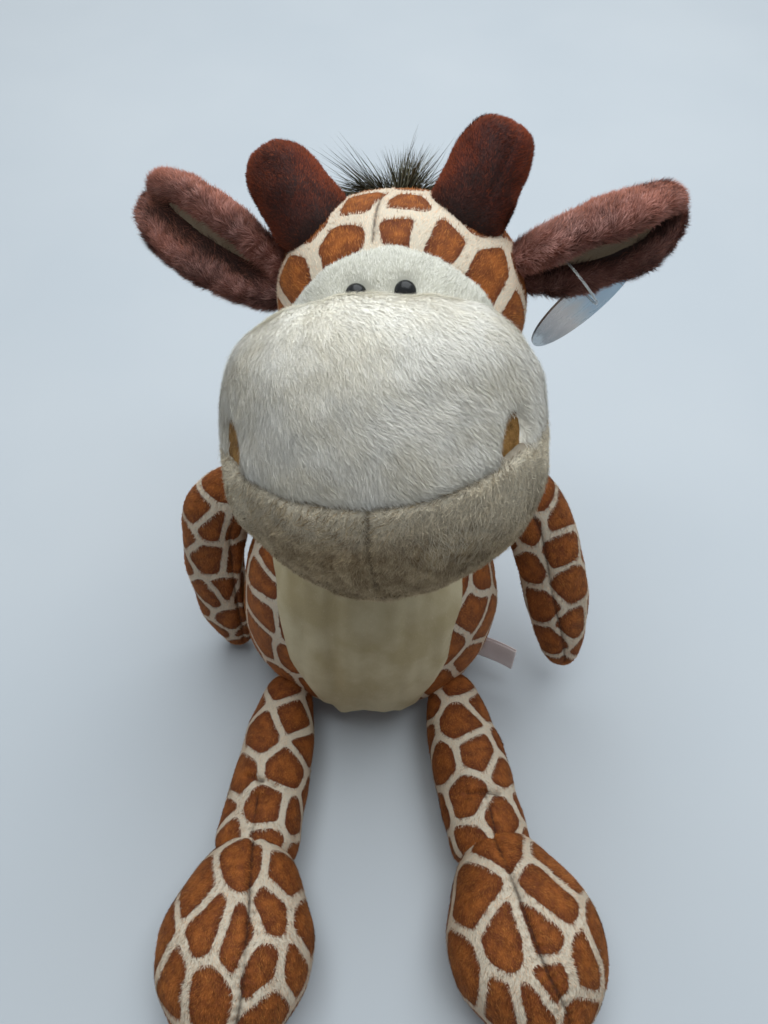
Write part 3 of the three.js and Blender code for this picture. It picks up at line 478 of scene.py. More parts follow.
@dataclass(frozen=True)
class Pile:
    """Short fibres that stand on a cloth, each a narrow blade of one or three faces."""

    count: int
    length: float
    width: float
    lean: float = 50.0
    swirl: float = 25.0
    fine: bool = True
    ruffle: float = 0.3
    clump: float = 0.35
    clump_size: float = 5.0
    mottle: float = 0.3
    seed: int = 3
    droop: float = 0.45
    uneven: float = 0.16
    sunk: float = 0.15

    def grow(self, skin: Skin, comb: Array, where: Optional[Array] = None) -> "Blades":
        """Grows blades on a skin.

        A root lies at random on a face picked by its area. The blade starts along
        N cos(lean) + T sin(lean), with N the outward direction and T the comb laid flat on
        the surface and swirled by lumps of noise, and leans over further at its tip. Finer
        noise of the clump's size draws the tips together and shares a tone among them.

        Args:
            skin: the cloth, whose marks the blades take from their roots.
            comb: the direction that the pile is brushed in, one vector or one per point.
            where: weight of each point, 0 where no pile grows.

        Returns:
            The blades.
        """
        rng = np.random.default_rng(self.seed)
        tri = skin.triangles()
        a, b, c = (skin.points[tri[:, k]] for k in range(3))
        area = np.linalg.norm(np.cross(b - a, c - a), axis=1)
        if where is not None:
            area = area * where[tri].mean(1)
        face = tri[rng.choice(len(tri), self.count, p=area / area.sum())]
        u, v = rng.random(self.count), rng.random(self.count)
        flip = u + v > 1
        u, v = np.where(flip, 1 - u, u), np.where(flip, 1 - v, v)
        weight = np.stack([1 - u - v, u, v], axis=1)[:, :, None]
        root = (skin.points[face] * weight).sum(1)
        normal = unit((skin.normals()[face] * weight).sum(1))
        brushed = np.broadcast_to(comb, skin.points.shape)[face].mean(1)
        flat = unit(brushed - normal * (brushed * normal).sum(1, keepdims=True))
        cross = np.cross(normal, flat)
        lumps = 1.4 * ripple(root, 22, self.seed) + 0.8 * rng.normal(size=self.count)
        drift = np.radians(self.swirl) * lumps
        flat = flat * np.cos(drift)[:, None] + cross * np.sin(drift)[:, None]
        lean = np.radians(self.lean) + self.uneven * rng.normal(size=self.count)
        start = normal * np.cos(lean)[:, None] + flat * np.sin(lean)[:, None]
        late = np.minimum(lean + self.droop, 1.5)
        end = normal * np.cos(late)[:, None] + flat * np.sin(late)[:, None]
        length = (self.length * rng.uniform(0.65, 1.15, self.count))[:, None]
        wide = unit(np.cross(start, normal) + 1e-4) * (self.width / 2)
        sheen = unit(normal + self.ruffle * rng.normal(size=normal.shape) + 0.2 * flat)
        base = root - normal * self.sunk
        drawn = [self.clump * ripple(root, self.clump_size, self.seed + 20 + k, 1)[:, None]
                 for k in range(2)]
        gather = flat * drawn[0] + cross * drawn[1]
        middle = base + start * length * 0.5 + gather * 0.3
        tip = middle + end * length * 0.5 + gather * 0.7
        shared = 0.5 + 0.5 * ripple(root, self.clump_size * 0.8, self.seed + 23)
        own = (1 - self.mottle) * rng.random(self.count)
        tone = np.clip(own + self.mottle * shared, 0, 1)
        if self.fine:
            corners, heights = [base - wide, base + wide, tip], [0, 0, 1]
            faces = np.array([[0, 1, 2]])
        else:
            narrow = wide * 0.8
            corners = [base - wide, base + wide, middle + narrow, middle - narrow, tip]
            heights = [0, 0, 0.5, 0.5, 1]
            faces = np.array([[0, 1, 2], [0, 2, 3], [3, 2, 4]])
        per = len(corners)
        index = np.arange(self.count)[:, None, None] * per
        marks = {name: np.repeat((values[face] * weight[:, :, 0]).sum(1), per)
                 for name, values in skin.marks.items()}
        marks["tone"] = np.repeat(tone, per)
        # the height mark, 0 at the root and 1 at the tip, sets the painted root shade and tip light
        marks["height"] = np.tile(np.array(heights, float), self.count)
        return Blades(
            np.stack(corners, axis=1).reshape(-1, 3),
            (index + faces).reshape(-1, 3),
            np.repeat(sheen, per, axis=0),
            marks,
        )


@dataclass
class Blades:
    """The mesh of a pile: points, triangles, shading directions and marks."""

    points: Array
    tris: Array
    normals: Array
    marks: dict[str, Array]


def make_piece(
    name: str,
    points: Array,
    faces: Sequence[Array],
    marks: dict[str, Array],
    material: bpy.types.Material,
    normals: Optional[Array] = None,
) -> bpy.types.Object:
    """Puts whole arrays into a smooth mesh object at the origin, in metres.

    Args:
        name: the piece's name.
        points: its points in millimetres.
        faces: arrays of four-sided or three-sided faces.
        marks: values per point, kept as attributes.
        material: its finish.
        normals: shading directions per point, or none for smooth ones.

    Returns:
        The new object.
    """
    parts = [part for part in faces if len(part)]
    loops = np.concatenate([part.ravel() for part in parts]).astype(np.int32)
    sizes = np.concatenate([np.full(len(part), part.shape[1]) for part in parts])
    starts = np.concatenate([[0], np.cumsum(sizes)[:-1]]).astype(np.int32)
    mesh = bpy.data.meshes.new(name)
    mesh.vertices.add(len(points))
    mesh.vertices.foreach_set("co", (points * MM).astype(np.float32).ravel())
    mesh.loops.add(len(loops))
    mesh.loops.foreach_set("vertex_index", loops)
    mesh.polygons.add(len(sizes))
    mesh.polygons.foreach_set("loop_start", starts)
    mesh.polygons.foreach_set("use_smooth", np.ones(len(sizes), bool))
    mesh.update(calc_edges=True)
    for mark, values in marks.items():
        layer = mesh.attributes.new(mark, "FLOAT", "POINT")
        layer.data.foreach_set("value", values.astype(np.float32))
    if normals is not None:
        mesh.normals_split_custom_set_from_vertices(normals)
    mesh.materials.append(material)
    piece = bpy.data.objects.new(name, mesh)
    bpy.context.scene.collection.objects.link(piece)
    return piece


class Graph:
    """A small helper for wiring shader nodes."""

    def __init__(self, tree: Tree) -> None:
        """Keeps the tree that nodes are added to."""
        self.tree = tree

    def add(self, kind: str, **settings: object) -> bpy.types.Node:
        """Adds a node and sets its properties."""
        node = self.tree.nodes.new(kind)
        for key, value in settings.items():
            setattr(node, key, value)
        return node

    def join(self, source: object, target: Socket) -> None:
        """Links a socket to an input, or writes a plain value into it."""
        if isinstance(source, Socket):
            self.tree.links.new(source, target)
        else:
            target.default_value = source

    def feed(self, inputs: Sockets, values: dict[str, object]) -> None:
        """Joins sockets or plain values to inputs by their names."""
        for name, value in values.items():
            self.join(value, inputs[name])

    def group(self, tree: Tree, values: dict[str, object]) -> Sockets:
        """Adds a node of a group, feeds its inputs and returns its outputs."""
        node = self.add("ShaderNodeGroup", node_tree=tree)
        self.feed(node.inputs, values)
        return node.outputs

    def math(self, operation: str, *values: object) -> Socket:
        """The result of a Math node on sockets or numbers."""
        node = self.add("ShaderNodeMath", operation=operation)
        for value, target in zip(values, node.inputs):
            self.join(value, target)
        return node.outputs[0]

    def mix(self, factor: object, a: object, b: object, blend: str = "MIX") -> Socket:
        """The colour between a and b."""
        node = self.add("ShaderNodeMix", data_type="RGBA", blend_type=blend)
        for value, index in ((factor, 0), (a, 6), (b, 7)):
            self.join(value, node.inputs[index])
        return node.outputs[2]

    def span(self, value: object, low: float, high: float) -> Socket:
        """A value carried from a span to 0 to 1, clamped."""
        node = self.add("ShaderNodeMapRange")
        for item, target in zip((value, low, high), node.inputs):
            self.join(item, target)
        return node.outputs[0]

    def noise(self, place: Socket, scale: object, detail: float) -> Socket:
        """A noise value from 0 to 1 at a scale in waves per metre."""
        node = self.add("ShaderNodeTexNoise")
        self.feed(node.inputs, {"Vector": place, "Scale": scale, "Detail": detail})
        return node.outputs["Fac"]

    def bump(self, height: Socket, strength: float, depth: float) -> Socket:
        """The normal bent by a height, with a strength and a depth in millimetres."""
        node = self.add("ShaderNodeBump")
        self.feed(node.inputs, {"Height": height, "Strength": strength, "Distance": MM * depth})
        return node.outputs["Normal"]

    def mark(self, name: str) -> Socket:
        """The value of a mark that the mesh keeps per point."""
        return self.add("ShaderNodeAttribute", attribute_name=name).outputs["Fac"]

    def place(self) -> Socket:
        """The object's own coordinates."""
        return self.add("ShaderNodeTexCoord").outputs["Object"]


class Groups:
    """Shader node groups that several finishes share, each built once."""

    grain = 1500.0

    @staticmethod
    def start(name: str, inputs: dict[str, str], outputs: Sequence[str]) -> tuple:
        """A new group with named sockets.

        Args:
            name: the group's name.
            inputs: kinds of the inputs by name.
            outputs: names of the outputs; "Colour" is a colour, the others are values.

        Returns:
            The tree, its graph, what it is given and what it gives out.
        """
        tree = bpy.data.node_groups.new(name, "ShaderNodeTree")
        given = {key: "Color" if key == "Colour" else "Float" for key in outputs}
        for way, kinds in (("INPUT", inputs), ("OUTPUT", given)):
            for key, kind in kinds.items():
                tree.interface.new_socket(name=key, in_out=way, socket_type=f"NodeSocket{kind}")
        graph = Graph(tree)
        return tree, graph, graph.add("NodeGroupInput").outputs, graph.add("NodeGroupOutput").inputs

    @staticmethod
    @cache
    def pile_depth() -> Tree:
        """Paints light and shade into the pile: painted shade on the roots and in seams and
        creases, painted light on the tips, and some fibres darker at random.

        Some fibres' tips are tinted toward the tip colour, partly their own lighter tips and partly
        painted highlight. The colour is mixed toward the painted shade colour by 0.85 times the
        shade mark of seams and creases, then multiplied by (Root + (Tip - Root) Height)(1 - V/2 +
        V Tone), with V the spread between fibres, Root the painted shade deep in the pile and Tip
        the painted light on the tips.
        """
        kinds = dict.fromkeys(("Height", "Tone", "Crease", "Root", "Tip", "Spread"), "Float")
        kinds |= dict.fromkeys(("Colour", "Tip Colour", "Fold"), "Color")
        tree, graph, given, out = Groups.start("pile_depth", kinds, ("Colour", "Roughness"))
        # painted shade deep in the pile at the roots, painted light at the tips
        rise = graph.math("SUBTRACT", given["Tip"], given["Root"])
        depth = graph.math("ADD", given["Root"], graph.math("MULTIPLY", rise, given["Height"]))
        least = graph.math("MULTIPLY_ADD", given["Spread"], -0.5, 1.0)
        tone = graph.math("MULTIPLY_ADD", given["Tone"], given["Spread"], least)
        light = graph.math("MULTIPLY", depth, tone)
        # lighter tips on some fibres: partly their own tip colour, partly painted highlight
        tip_colour_and_highlight = graph.math("MULTIPLY", given["Height"], graph.math("POWER", given["Tone"], 2.0))
        tips_and_crease_shade = graph.mix(tip_colour_and_highlight, given["Colour"], given["Tip Colour"])
        # painted shade in seams and creases, in the shade colour
        tips_and_crease_shade = graph.mix(graph.math("MULTIPLY", given["Crease"], 0.85), tips_and_crease_shade, given["Fold"])
        grey = graph.add("ShaderNodeCombineColor")
        for socket in grey.inputs:
            graph.join(light, socket)
        graph.feed(out, {
            "Colour": graph.mix(1.0, tips_and_crease_shade, grey.outputs[0], "MULTIPLY"),
            "Roughness": graph.math("MULTIPLY_ADD", given["Tone"], 0.12, 0.72),
        })
        return tree

    @staticmethod
    @cache
    def print_colour() -> Tree:
        """The print: cream lines, and patches that are darker at their edges.

        The patch mark, in millimetres inside the patch, wobbles by fine noise, and a step
        at zero picks the dye. Streaky noise moves the patch between its two browns.
        """
        kinds = {"Patch": "Float", "Place": "Vector"}
        kinds |= dict.fromkeys(("Deep", "Warm", "Line"), "Color")
        tree, graph, given, out = Groups.start("print_colour", kinds, ("Colour",))
        patch, place = given["Patch"], given["Place"]
        wobble = graph.math("MULTIPLY_ADD", graph.noise(place, 420, 3), 0.9, -0.45)
        mask = graph.span(graph.math("ADD", patch, wobble), -0.2, 0.2)
        streaks = graph.noise(place, 260, 5)
        streaky = graph.math("MULTIPLY_ADD", graph.span(streaks, 0.36, 0.66), 0.7, 0.3)
        heart = graph.math("MULTIPLY_ADD", graph.span(patch, 0.3, 3.2), 0.8, 0.2)
        brown = graph.mix(graph.math("MULTIPLY", streaky, heart), given["Deep"], given["Warm"])
        dirty = graph.mix(graph.math("MULTIPLY", streaks, 0.08), given["Line"], given["Warm"])
        graph.join(graph.mix(mask, dirty, brown), out["Colour"])
        return tree

    @staticmethod
    @cache
    def cloth_grain() -> Tree:
        """Grain of a pile's backing: soft blotches for colour and fine bumps for height."""
        kinds = {"Place": "Vector", "Light": "Color", "Dark": "Color", "Scale": "Float"}
        tree, graph, given, out = Groups.start("cloth_grain", kinds, ("Colour", "Height"))
        blotch = graph.span(graph.noise(given["Place"], given["Scale"], 3), 0.38, 0.62)
        graph.feed(out, {
            "Colour": graph.mix(blotch, given["Dark"], given["Light"]),
            "Height": graph.noise(given["Place"], Groups.grain, 3),
        })
        return tree


@dataclass(frozen=True)
class Finish:
    """What every finish has: a name, a light and a dark colour, and a material."""

    name: str
    light: str
    dark: str

    def material(self) -> bpy.types.Material:
        """Builds the material, or returns it if it is already there."""
        name = f"{self.name}_finish"
        material = bpy.data.materials.get(name)
        if not material:
            material = bpy.data.materials.new(name)
            material.use_nodes = True
            self.wire(Graph(material.node_tree), material.node_tree.nodes["Principled BSDF"].inputs)
        return material

    def wire(self, graph: Graph, shader: Sockets) -> None:
        """Wires the nodes of a kind of finish to the shader's inputs."""
        raise NotImplementedError(self.name)


@dataclass(frozen=True)
class Plush(Finish):
    """A pile cloth of one colour: light and dark blotches, painted shade at the roots and in seams
    and creases, painted light on the tips, and a painted rim light on the silhouette where a
    rim colour is given.
    """

    tip: str
    # root_light and tip_light: painted shade at the fibres' roots and painted light at their tips
    root_light: float = 0.62
    tip_light: float = 1.08
    spread: float = 0.22
    sheen: float = 0.25
    bump: float = 0.25
    cheek: Optional[str] = None
    blotch: float = 55.0
    # rim: colour of a painted rim light, mixed in toward the silhouette
    rim: Optional[str] = None
    # fold: colour of the painted shade in seams and creases
    fold: str = "1c0c07"

    def colour(self, graph: Graph) -> tuple[Socket, Socket]:
        """The cloth's colour before its painted depth shade and tip light, and its grain's height.
        """
        grain = graph.group(Groups.cloth_grain(), {
            "Place": graph.place(), "Light": srgb(self.light), "Dark": srgb(self.dark),
            "Scale": self.blotch,
        })
        cloth = grain["Colour"]
        if self.cheek:
            cloth = graph.mix(graph.mark("cheek"), cloth, srgb(self.cheek))
        return cloth, grain["Height"]

    def wire(self, graph: Graph, shader: Sockets) -> None:
        """Wires the colour, the pile's painted depth shade and tip light, the painted rim light
        and the bumps.
        """
        colour, height = self.colour(graph)
        depth = graph.group(Groups.pile_depth(), {
            "Colour": colour, "Tip Colour": srgb(self.tip), "Height": graph.mark("height"),
            "Tone": graph.mark("tone"), "Crease": graph.mark("crease"), "Root": self.root_light,
            "Tip": self.tip_light, "Spread": self.spread, "Fold": srgb(self.fold),
        })
        shade = depth["Colour"]
        # painted rim light: the rim colour mixed in where the surface turns toward the silhouette
        if self.rim:
            facing = graph.add("ShaderNodeLayerWeight").outputs["Facing"]
            edge = graph.math("MULTIPLY", graph.math("POWER", facing, 2.5), 0.65)
            shade = graph.mix(edge, shade, srgb(self.rim))
        graph.feed(shader, {
            "Base Color": shade, "Roughness": depth["Roughness"],
            "Normal": graph.bump(height, self.bump, 0.4), "Sheen Weight": self.sheen,
            "Sheen Roughness": 0.5, "Sheen Tint": srgb(self.tip), "Specular IOR Level": 0.25,
        })


@dataclass(frozen=True)
class PrintPlush(Plush):
    """Pile cloth with the giraffe print."""

    line: str = "dccfb0"

    def colour(self, graph: Graph) -> tuple[Socket, Socket]:
        """The print's colour, and its grain's height."""
        place = graph.place()
        dye = graph.group(Groups.print_colour(), {
            "Patch": graph.mark("patch"), "Place": place, "Deep": srgb(self.dark),
            "Warm": srgb(self.light), "Line": srgb(self.line),
        })
        return dye["Colour"], graph.noise(place, Groups.grain, 3)


@dataclass(frozen=True)
class Smooth(Finish):
    """A finish without pile: plastic, card, ribbon or thread, with a faint uneven tone."""

    roughness: float
    scale: float = 60.0
    coat: float = 0.0
    transmission: float = 0.0
    bump: float = 0.1
    bump_scale: float = 900.0
    specular: float = 0.5

    def dye(self, graph: Graph, place: Socket, tone: Socket) -> Socket:
        """The finish's colour from the place and an uneven tone."""
        return graph.mix(tone, srgb(self.dark), srgb(self.light))

    def wire(self, graph: Graph, shader: Sockets) -> None:
        """Wires the colour, the roughness and the bumps."""
        place = graph.place()
        tone = graph.span(graph.noise(place, self.scale, 3), 0.35, 0.65)
        graph.feed(shader, {
            "Base Color": self.dye(graph, place, tone), "Specular IOR Level": self.specular,
            "Roughness": graph.math("MULTIPLY_ADD", tone, 0.08, self.roughness),
            "Normal": graph.bump(graph.noise(place, self.bump_scale, 2), self.bump, 0.2),
            "Coat Weight": self.coat, "Transmission Weight": self.transmission,
        })


@dataclass(frozen=True)
class Banded(Smooth):
    """Glossy card with soft plain bands of colour along one direction of the piece."""

    bands: tuple[tuple[float, str], ...] = ()
    along: Triple = (0.0, 0.0, 1.0)
    first: float = 0.0
    length: float = 0.05

    def dye(self, graph: Graph, place: Socket, tone: Socket) -> Socket:
        """The band at the place's share of the length, moved a little by the tone."""
        dot = graph.add("ShaderNodeVectorMath", operation="DOT_PRODUCT")
        graph.join(place, dot.inputs[0])
        graph.join(self.along, dot.inputs[1])
        share = graph.span(dot.outputs["Value"], self.first, self.first + self.length)
        ramp = graph.add("ShaderNodeValToRGB")
        graph.join(graph.math("MULTIPLY_ADD", tone, 0.07, share), ramp.inputs["Fac"])
        elements = ramp.color_ramp.elements
        for index, (at, code) in enumerate(self.bands):
            element = elements[index] if index < 2 else elements.new(at)
            element.position = at
            element.color = srgb(code)
        return ramp.outputs["Color"]


PRINT = PrintPlush("giraffe_print", "ad6129", "571f0d", "cf8b48", root_light=0.66, tip_light=1.1,
                   spread=0.3, line="f3e8d2", fold="2a1208")
# The cream's cheek colour is a darker cream: painted shade over the face panel.
CREAM = Plush("cream_pile", "fdfaf0", "f4eedd", "fffdf8", root_light=0.88, tip_light=1.05,
              spread=0.1, cheek="cfcdbf", fold="80683f")
# The muzzle's cream cloth painted darker and browner for the jaw: painted shade under the muzzle.
# Its cheek colour is the unshaded cream, on the outer cheeks and below the mouth.
JAW_SHADED = Plush("jaw_pile", "c2aa84", "8a714f", "e6d3b2", root_light=0.6, tip_light=1.12,
            cheek="f7edd6", blotch=230.0, fold="4c3a26")
BELLY = Plush("belly_cloth", "d6c8a4", "bfae86", "e2d6b8", root_light=0.86, spread=0.14,
              fold="4a3c28")
# The horn's and the ear's rim colours are painted rim light on the silhouette, their low root light
# is painted shade deep in the pile, and the ear's lilac tips are partly painted highlight.
HORN = Plush("horn_pile", "42120a", "250804", "7c3319", root_light=0.36, tip_light=1.1,
             spread=0.34, sheen=0.04, rim="9c461c")
EAR = Plush("ear_pile", "7c4232", "46221a", "cb9c92", root_light=0.26, tip_light=1.25, spread=0.6,
            sheen=0.3, rim="b46848", fold="1a0b07")
LINING = Plush("lining_cloth", "a3917a", "857359", "bdae92", root_light=0.8, spread=0.12)
NOSTRIL = Plush("nostril_cloth", "b5874a", "7a5424", "dab27a", root_light=0.6, blotch=300.0)
HAIR = Plush("hair", "5c5843", "333122", "86826b", root_light=0.6, tip_light=1.15, spread=0.5,
             sheen=0.15)
EYE = Smooth("black_gloss", "080c0f", "05080a", 0.18, bump=0.0, specular=0.24)
WASHER = Smooth("washer_plastic", "dddcd6", "d2d1cb", 0.45)
PELLETS = Smooth("pellet_bag", "dfddd2", "cfccbe", 0.85, bump=0.6)
RIBBON = Smooth("ribbon", "eee3e2", "dfd0cf", 0.6, bump=0.35, bump_scale=2600)
CARD = Banded("tag_card", "9db0bd", "6f8796", 0.25, scale=90, coat=0.25, bands=(
    (0.0, "222c33"), (0.04, "4f7f9d"), (0.12, "73a5c4"), (0.5, "6797b6"), (0.62, "a9afb0"),
    (0.7, "bfb0a6"), (0.84, "998f8a"), (0.93, "5d656c"), (0.97, "b9c8d0"),
))
THREAD = Smooth("clear_thread", "dfe4e6", "cfd6d9", 0.2, transmission=0.85, bump=0.0)


@dataclass(frozen=True)
class Hold:
    """How a piece follows the bodies: it rides on one, or, given a second body, stays in place
    with its transform baked.
    """

    body: str
    other: str = ""
    start: Triple = (0.0, 0.0, 0.0)
    end: Triple = (0.0, 0.0, 0.0)

    def take(self, piece: bpy.types.Object) -> None:
        if self.other:
            tuple(MM * v for v in self.start)
            tuple(MM * v for v in self.end)
            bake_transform(piece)
        else:
            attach(piece, self.body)


def soft(
    name: str, skin: Skin, finish: Plush, hold: Hold, node: str, fill: Optional[float] = None
) -> None:
    """Args:
        name: the piece's name.
        skin: its shape.
        finish: its cloth.
        hold: how it follows the bodies.
        node: the CAD node that it stands for.
        fill: how full it is stuffed, or none where it isn't stuffed; not used.
    """
    # the cloth under the pile gets a low height mark: painted shade, as seen deep between the
    # fibres
    height, tone = 0.15, 0.4
    marks = dict(skin.marks)
    marks.setdefault("crease", np.zeros(len(skin.points)))
    marks["height"] = np.full(len(skin.points), height)
    marks["tone"] = np.full(len(skin.points), tone)
    piece = make_piece(name, skin.points, (skin.quads, skin.tris), marks, finish.material())
    hold.take(piece)
    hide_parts(node)
    LOG.info("%s: %d points", name, len(skin.points))


def fur(
    name: str, skin: Skin, finish: Plush, hold: Hold, pile: Pile, comb: Array,
    where: Optional[Array] = None,
) -> None:
    """Args:
        name: the piece's name.
        skin: the cloth that it grows on.
        finish: its finish.
        hold: how it follows the bodies.
        pile: its fibres.
        comb: the direction that it is brushed in.
        where: weight per point of the cloth, 0 where none grows.
    """
    blades = pile.grow(skin, comb, where)
    piece = make_piece(name, blades.points, (blades.tris,), blades.marks, finish.material(),
                       blades.normals)
    hold.take(piece)
    LOG.info("%s: %d fibres", name, pile.count)


@dataclass(frozen=True)
class Cover:
    """How a piece is covered: its cloth, its pile and how full it is stuffed."""

    finish: Plush
    pile: Pile
    fill: Optional[float] = None
    coat: str = "pile"

    def clothe(
        self, name: str, side: Optional[Side], skin: Skin, hold: Hold, comb: Array,
        where: Optional[Array] = None,
    ) -> None:
        """Makes a piece's cloth and the pile on it.

        Args:
            name: the CAD node's name, without its side.
            side: the piece's side, or none.
            skin: its shape.
            hold: how it follows the bodies.
            comb: the direction that the pile is brushed in.
            where: weight per point, 0 where no pile grows.
        """
        end = f"_{side.word}" if side else ""
        soft(f"{name}_cloth{end}", skin, self.finish, hold, f"{name}{end}", self.fill)
        fur(f"{name}_{self.coat}{end}", skin, self.finish, hold, self.pile, comb, where)


@dataclass
class Trunk:
    """The body with its belly panel, sewn-in label and tail."""

    width: float = 107.0
    depth: float = 82.0
    height: float = 110.0
    lean: float = 15.0
    sunk: float = 0.5
    width_shares: tuple[float, ...] = (0.92, 1.0, 0.98, 0.84, 0.66)
    depth_shares: tuple[float, ...] = (0.92, 1.02, 0.99, 0.86, 0.68)
    lean_shares: tuple[float, ...] = (0.0, 0.02, 0.2, 0.55, 1.0)
    powers: tuple[float, float] = (6.0, 2.6)
    belly_width: float = 76.0
    belly_bottom: float = 8.0
    belly_top: float = 104.0
    label_reach: float = 14.5
    label_width: float = 17.0
    tail_pivot: Triple = (0.0, 44.0, 40.0)
    tail_length: float = 58.0
    tail_droop: float = 29.0
    seams: tuple[int, ...] = (0, 90, 180)
    prints: Patches = Patches(15.0, 2.6, stretch=(1.0, 1.0, 0.85), seed=4)
    spots: tuple[tuple[float, int], ...] = (
        (0.625, 171), (0.654, 210), (0.539, 214), (0.744, 210), (0.641, 340), (0.547, 326),
        (0.559, 5), (0.416, 335), (0.4, 214), (0.29, 322),
    )
    cover: Cover = Cover(PRINT, Pile(52000, 1.5, 0.32, lean=64, seed=5), 0.8)
    nap: Pile = Pile(24000, 0.9, 0.26, lean=66, swirl=14, seed=6)
    tail_cover: Cover = Cover(PRINT, Pile(7000, 1.4, 0.3, seed=9), 0.8)

    def form(self) -> Form:
        """The body's stuffed form."""
        last = len(self.lean_shares) - 1
        spine = tuple((0.0, self.lean * share, self.height * i / last - self.sunk * (1 - i / last))
                      for i, share in enumerate(self.lean_shares))
        return Form(spine, scaled(self.width, self.depth, self.width_shares, self.depth_shares),
                    (1, 0, 0), self.powers)

    def half_width(self, height: Array) -> Array:
        """Half the body's width at a height: the girth's curve drawn in by its power."""
        share = np.clip(np.asarray(height, float) / self.height, 0, 1)
        knots = np.array(self.width_shares)[:, None] * self.width / 2
        size, _ = catmull(knots, share.ravel())
        return size[:, 0].reshape(share.shape) * drawn_in(share, self.powers)

    def build(self) -> None:
        """Makes the body, the belly panel, the label and the tail."""
        form = self.form()
        skin = form.skin(110, 170, self.seams)
        local = skin.points.copy()
        skin.swell(0.7, 42, 11)
        for angle in self.seams:
            path = [(share, angle) for share in (0.12, 0.5, 0.93)]
            skin.sew(seam_line(form, path), 0.8, 1.3, 0.12)
        skin.lift(0.0).mark("patch", self.prints.inside(local, spots_on(form, self.spots)))
        hold = Hold("body")
        front = smooth(-skin.points[:, 1], 10, 26) * (np.abs(skin.points[:, 0]) < 30)
        shown = skin.above(0.4) * (1 - front)
        self.cover.clothe("torso", None, skin, hold, np.array([0.0, -0.2, -1.0]), shown)
        self.belly(form, hold)
        self.label()
        self.tail()

    def belly(self, form: Form, hold: Hold) -> None:
        """Makes the belly panel: the body's front between two curved seams, standing proud."""
        steps, proud, least, tucked = 90, 2.6, 0.7, 1.7
        up, spread = np.linspace(0, 1, steps), np.linspace(-1, 1, steps)
        heights = self.belly_bottom + (self.belly_top - self.belly_bottom) * up
        out = np.interp(up, [0, 0.02, 0.14, 0.36, 0.62, 0.85, 1], [0, 0.3, 0.62, 0.88, 1, 1, 0.8])
        limit = np.clip(out * self.belly_width / 2 / self.half_width(heights), 0, 0.97)
        angle = 1.5 * np.pi + np.arcsin(limit)[:, None] * spread[None, :]
        skin = patch_skin(form, np.repeat((heights / self.height)[:, None], steps, axis=1), angle)
        edge = np.maximum(np.abs(spread)[None, :] ** 6, (1 - up[:, None]) ** 30).ravel()
        folds = ripple(skin.points * (2.2, 1, 0.45), 26, 13)
        dent = 1.7 * bell(skin.points[:, 0] + 12, 3.4) * smooth(skin.points[:, 2], 12, 60)
        skin.push(np.maximum(proud + folds - dent, least) * (1 - edge) - tucked * edge)
        # painted shade along the panel's tucked-in edge
        skin.mark("crease", 0.9 * smooth(edge, 0.6, 1.0)).lift(0.2)
        soft("belly_cloth_panel", skin, BELLY, hold, "belly_panel")
        down = np.array([0.0, 0.0, -1.0])
        fur("belly_nap", skin, BELLY, hold, self.nap, down, (edge < 0.9) * 1.0)

    def label(self) -> None:
        """Makes the label: a ribbon folded double, its ends sewn into the side seam.

        Its path runs out, round a half circle of 0.5 mm radius and back, and every line
        across it sags by slow sines.
        """
        radius = 0.5
        turning = self.label_reach - radius
        straight = np.linspace(-9, turning, 24)
        bend = np.linspace(-np.pi / 2, np.pi / 2, 9)[1:-1]
        path = np.concatenate([
            columns(straight, 0.0),
            columns(turning + radius * np.cos(bend), radius + radius * np.sin(bend)),
            columns(straight, 2 * radius)[::-1],
        ])
        across = np.linspace(0, self.label_width, 14)
        points = np.zeros((len(path), len(across), 3))
        points[..., :2] = path[:, None, :]
        points[..., 2] = across[None, :]
        wave = 0.9 * np.sin(points[..., 0] / 7) * (points[..., 0] > 0)
        points[..., 1] += wave + 0.5 * np.sin(points[..., 2] / 6)
        skin = open_skin(points)
        skin.place(shift(self.width / 2 - 4.5, -14, 11.5) @ turn(Axis.Z, -30))
        faces = (skin.quads[:, [0, 3, 2, 1]],)
        piece = make_piece("label_ribbon", skin.points, faces, {}, RIBBON.material())
        wall = piece.modifiers.new("Thickness", "SOLIDIFY")
        wall.thickness = 0.22 * MM
        wall.offset = 0
        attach(piece, "body")
        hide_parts("label")

    def tail(self) -> None:
        """Makes the tail, a thin stuffed cord, and the hair at its end."""
        thick = 8.4
        reach = math.sqrt(self.tail_length**2 - self.tail_droop**2)
        curve = ((-0.02, 0.0), (0.3, -0.08), (0.65, -0.42), (1.0, -1.0))
        spine = tuple((0.0, reach * out, self.tail_droop * fall) for out, fall in curve)
        form = Form(spine, scaled(thick, thick, (1, 0.9, 0.85, 0.8)), (1, 0, 0), (4, 4))
        skin = form.skin(60, 36)
        skin.swell(0.25, 14, 21).place(shift(*self.tail_pivot))
        skin.mark("patch", Patches(9.0, 1.8, seed=8).inside(skin.points))
        hold = Hold("body", "tail", (0, 42, 40), (0, 52, 39))
        self.tail_cover.clothe("tail", None, skin, hold, np.array([0.0, 0.6, -0.6]))
        root = self.tail_pivot + np.array([0.0, reach - 1, -self.tail_droop + 1])
        lock = Strands(700, 25.0, 0.4, spread=6.0, flare=0.5, curl=2.6, seed=10, low=0.6)
        lock.make("tail_hair", root, np.array([0, 0.62, -0.78]), np.array([1.0, 0, 0]),
                  Hold("tail"), "tail_tuft", 6.0)


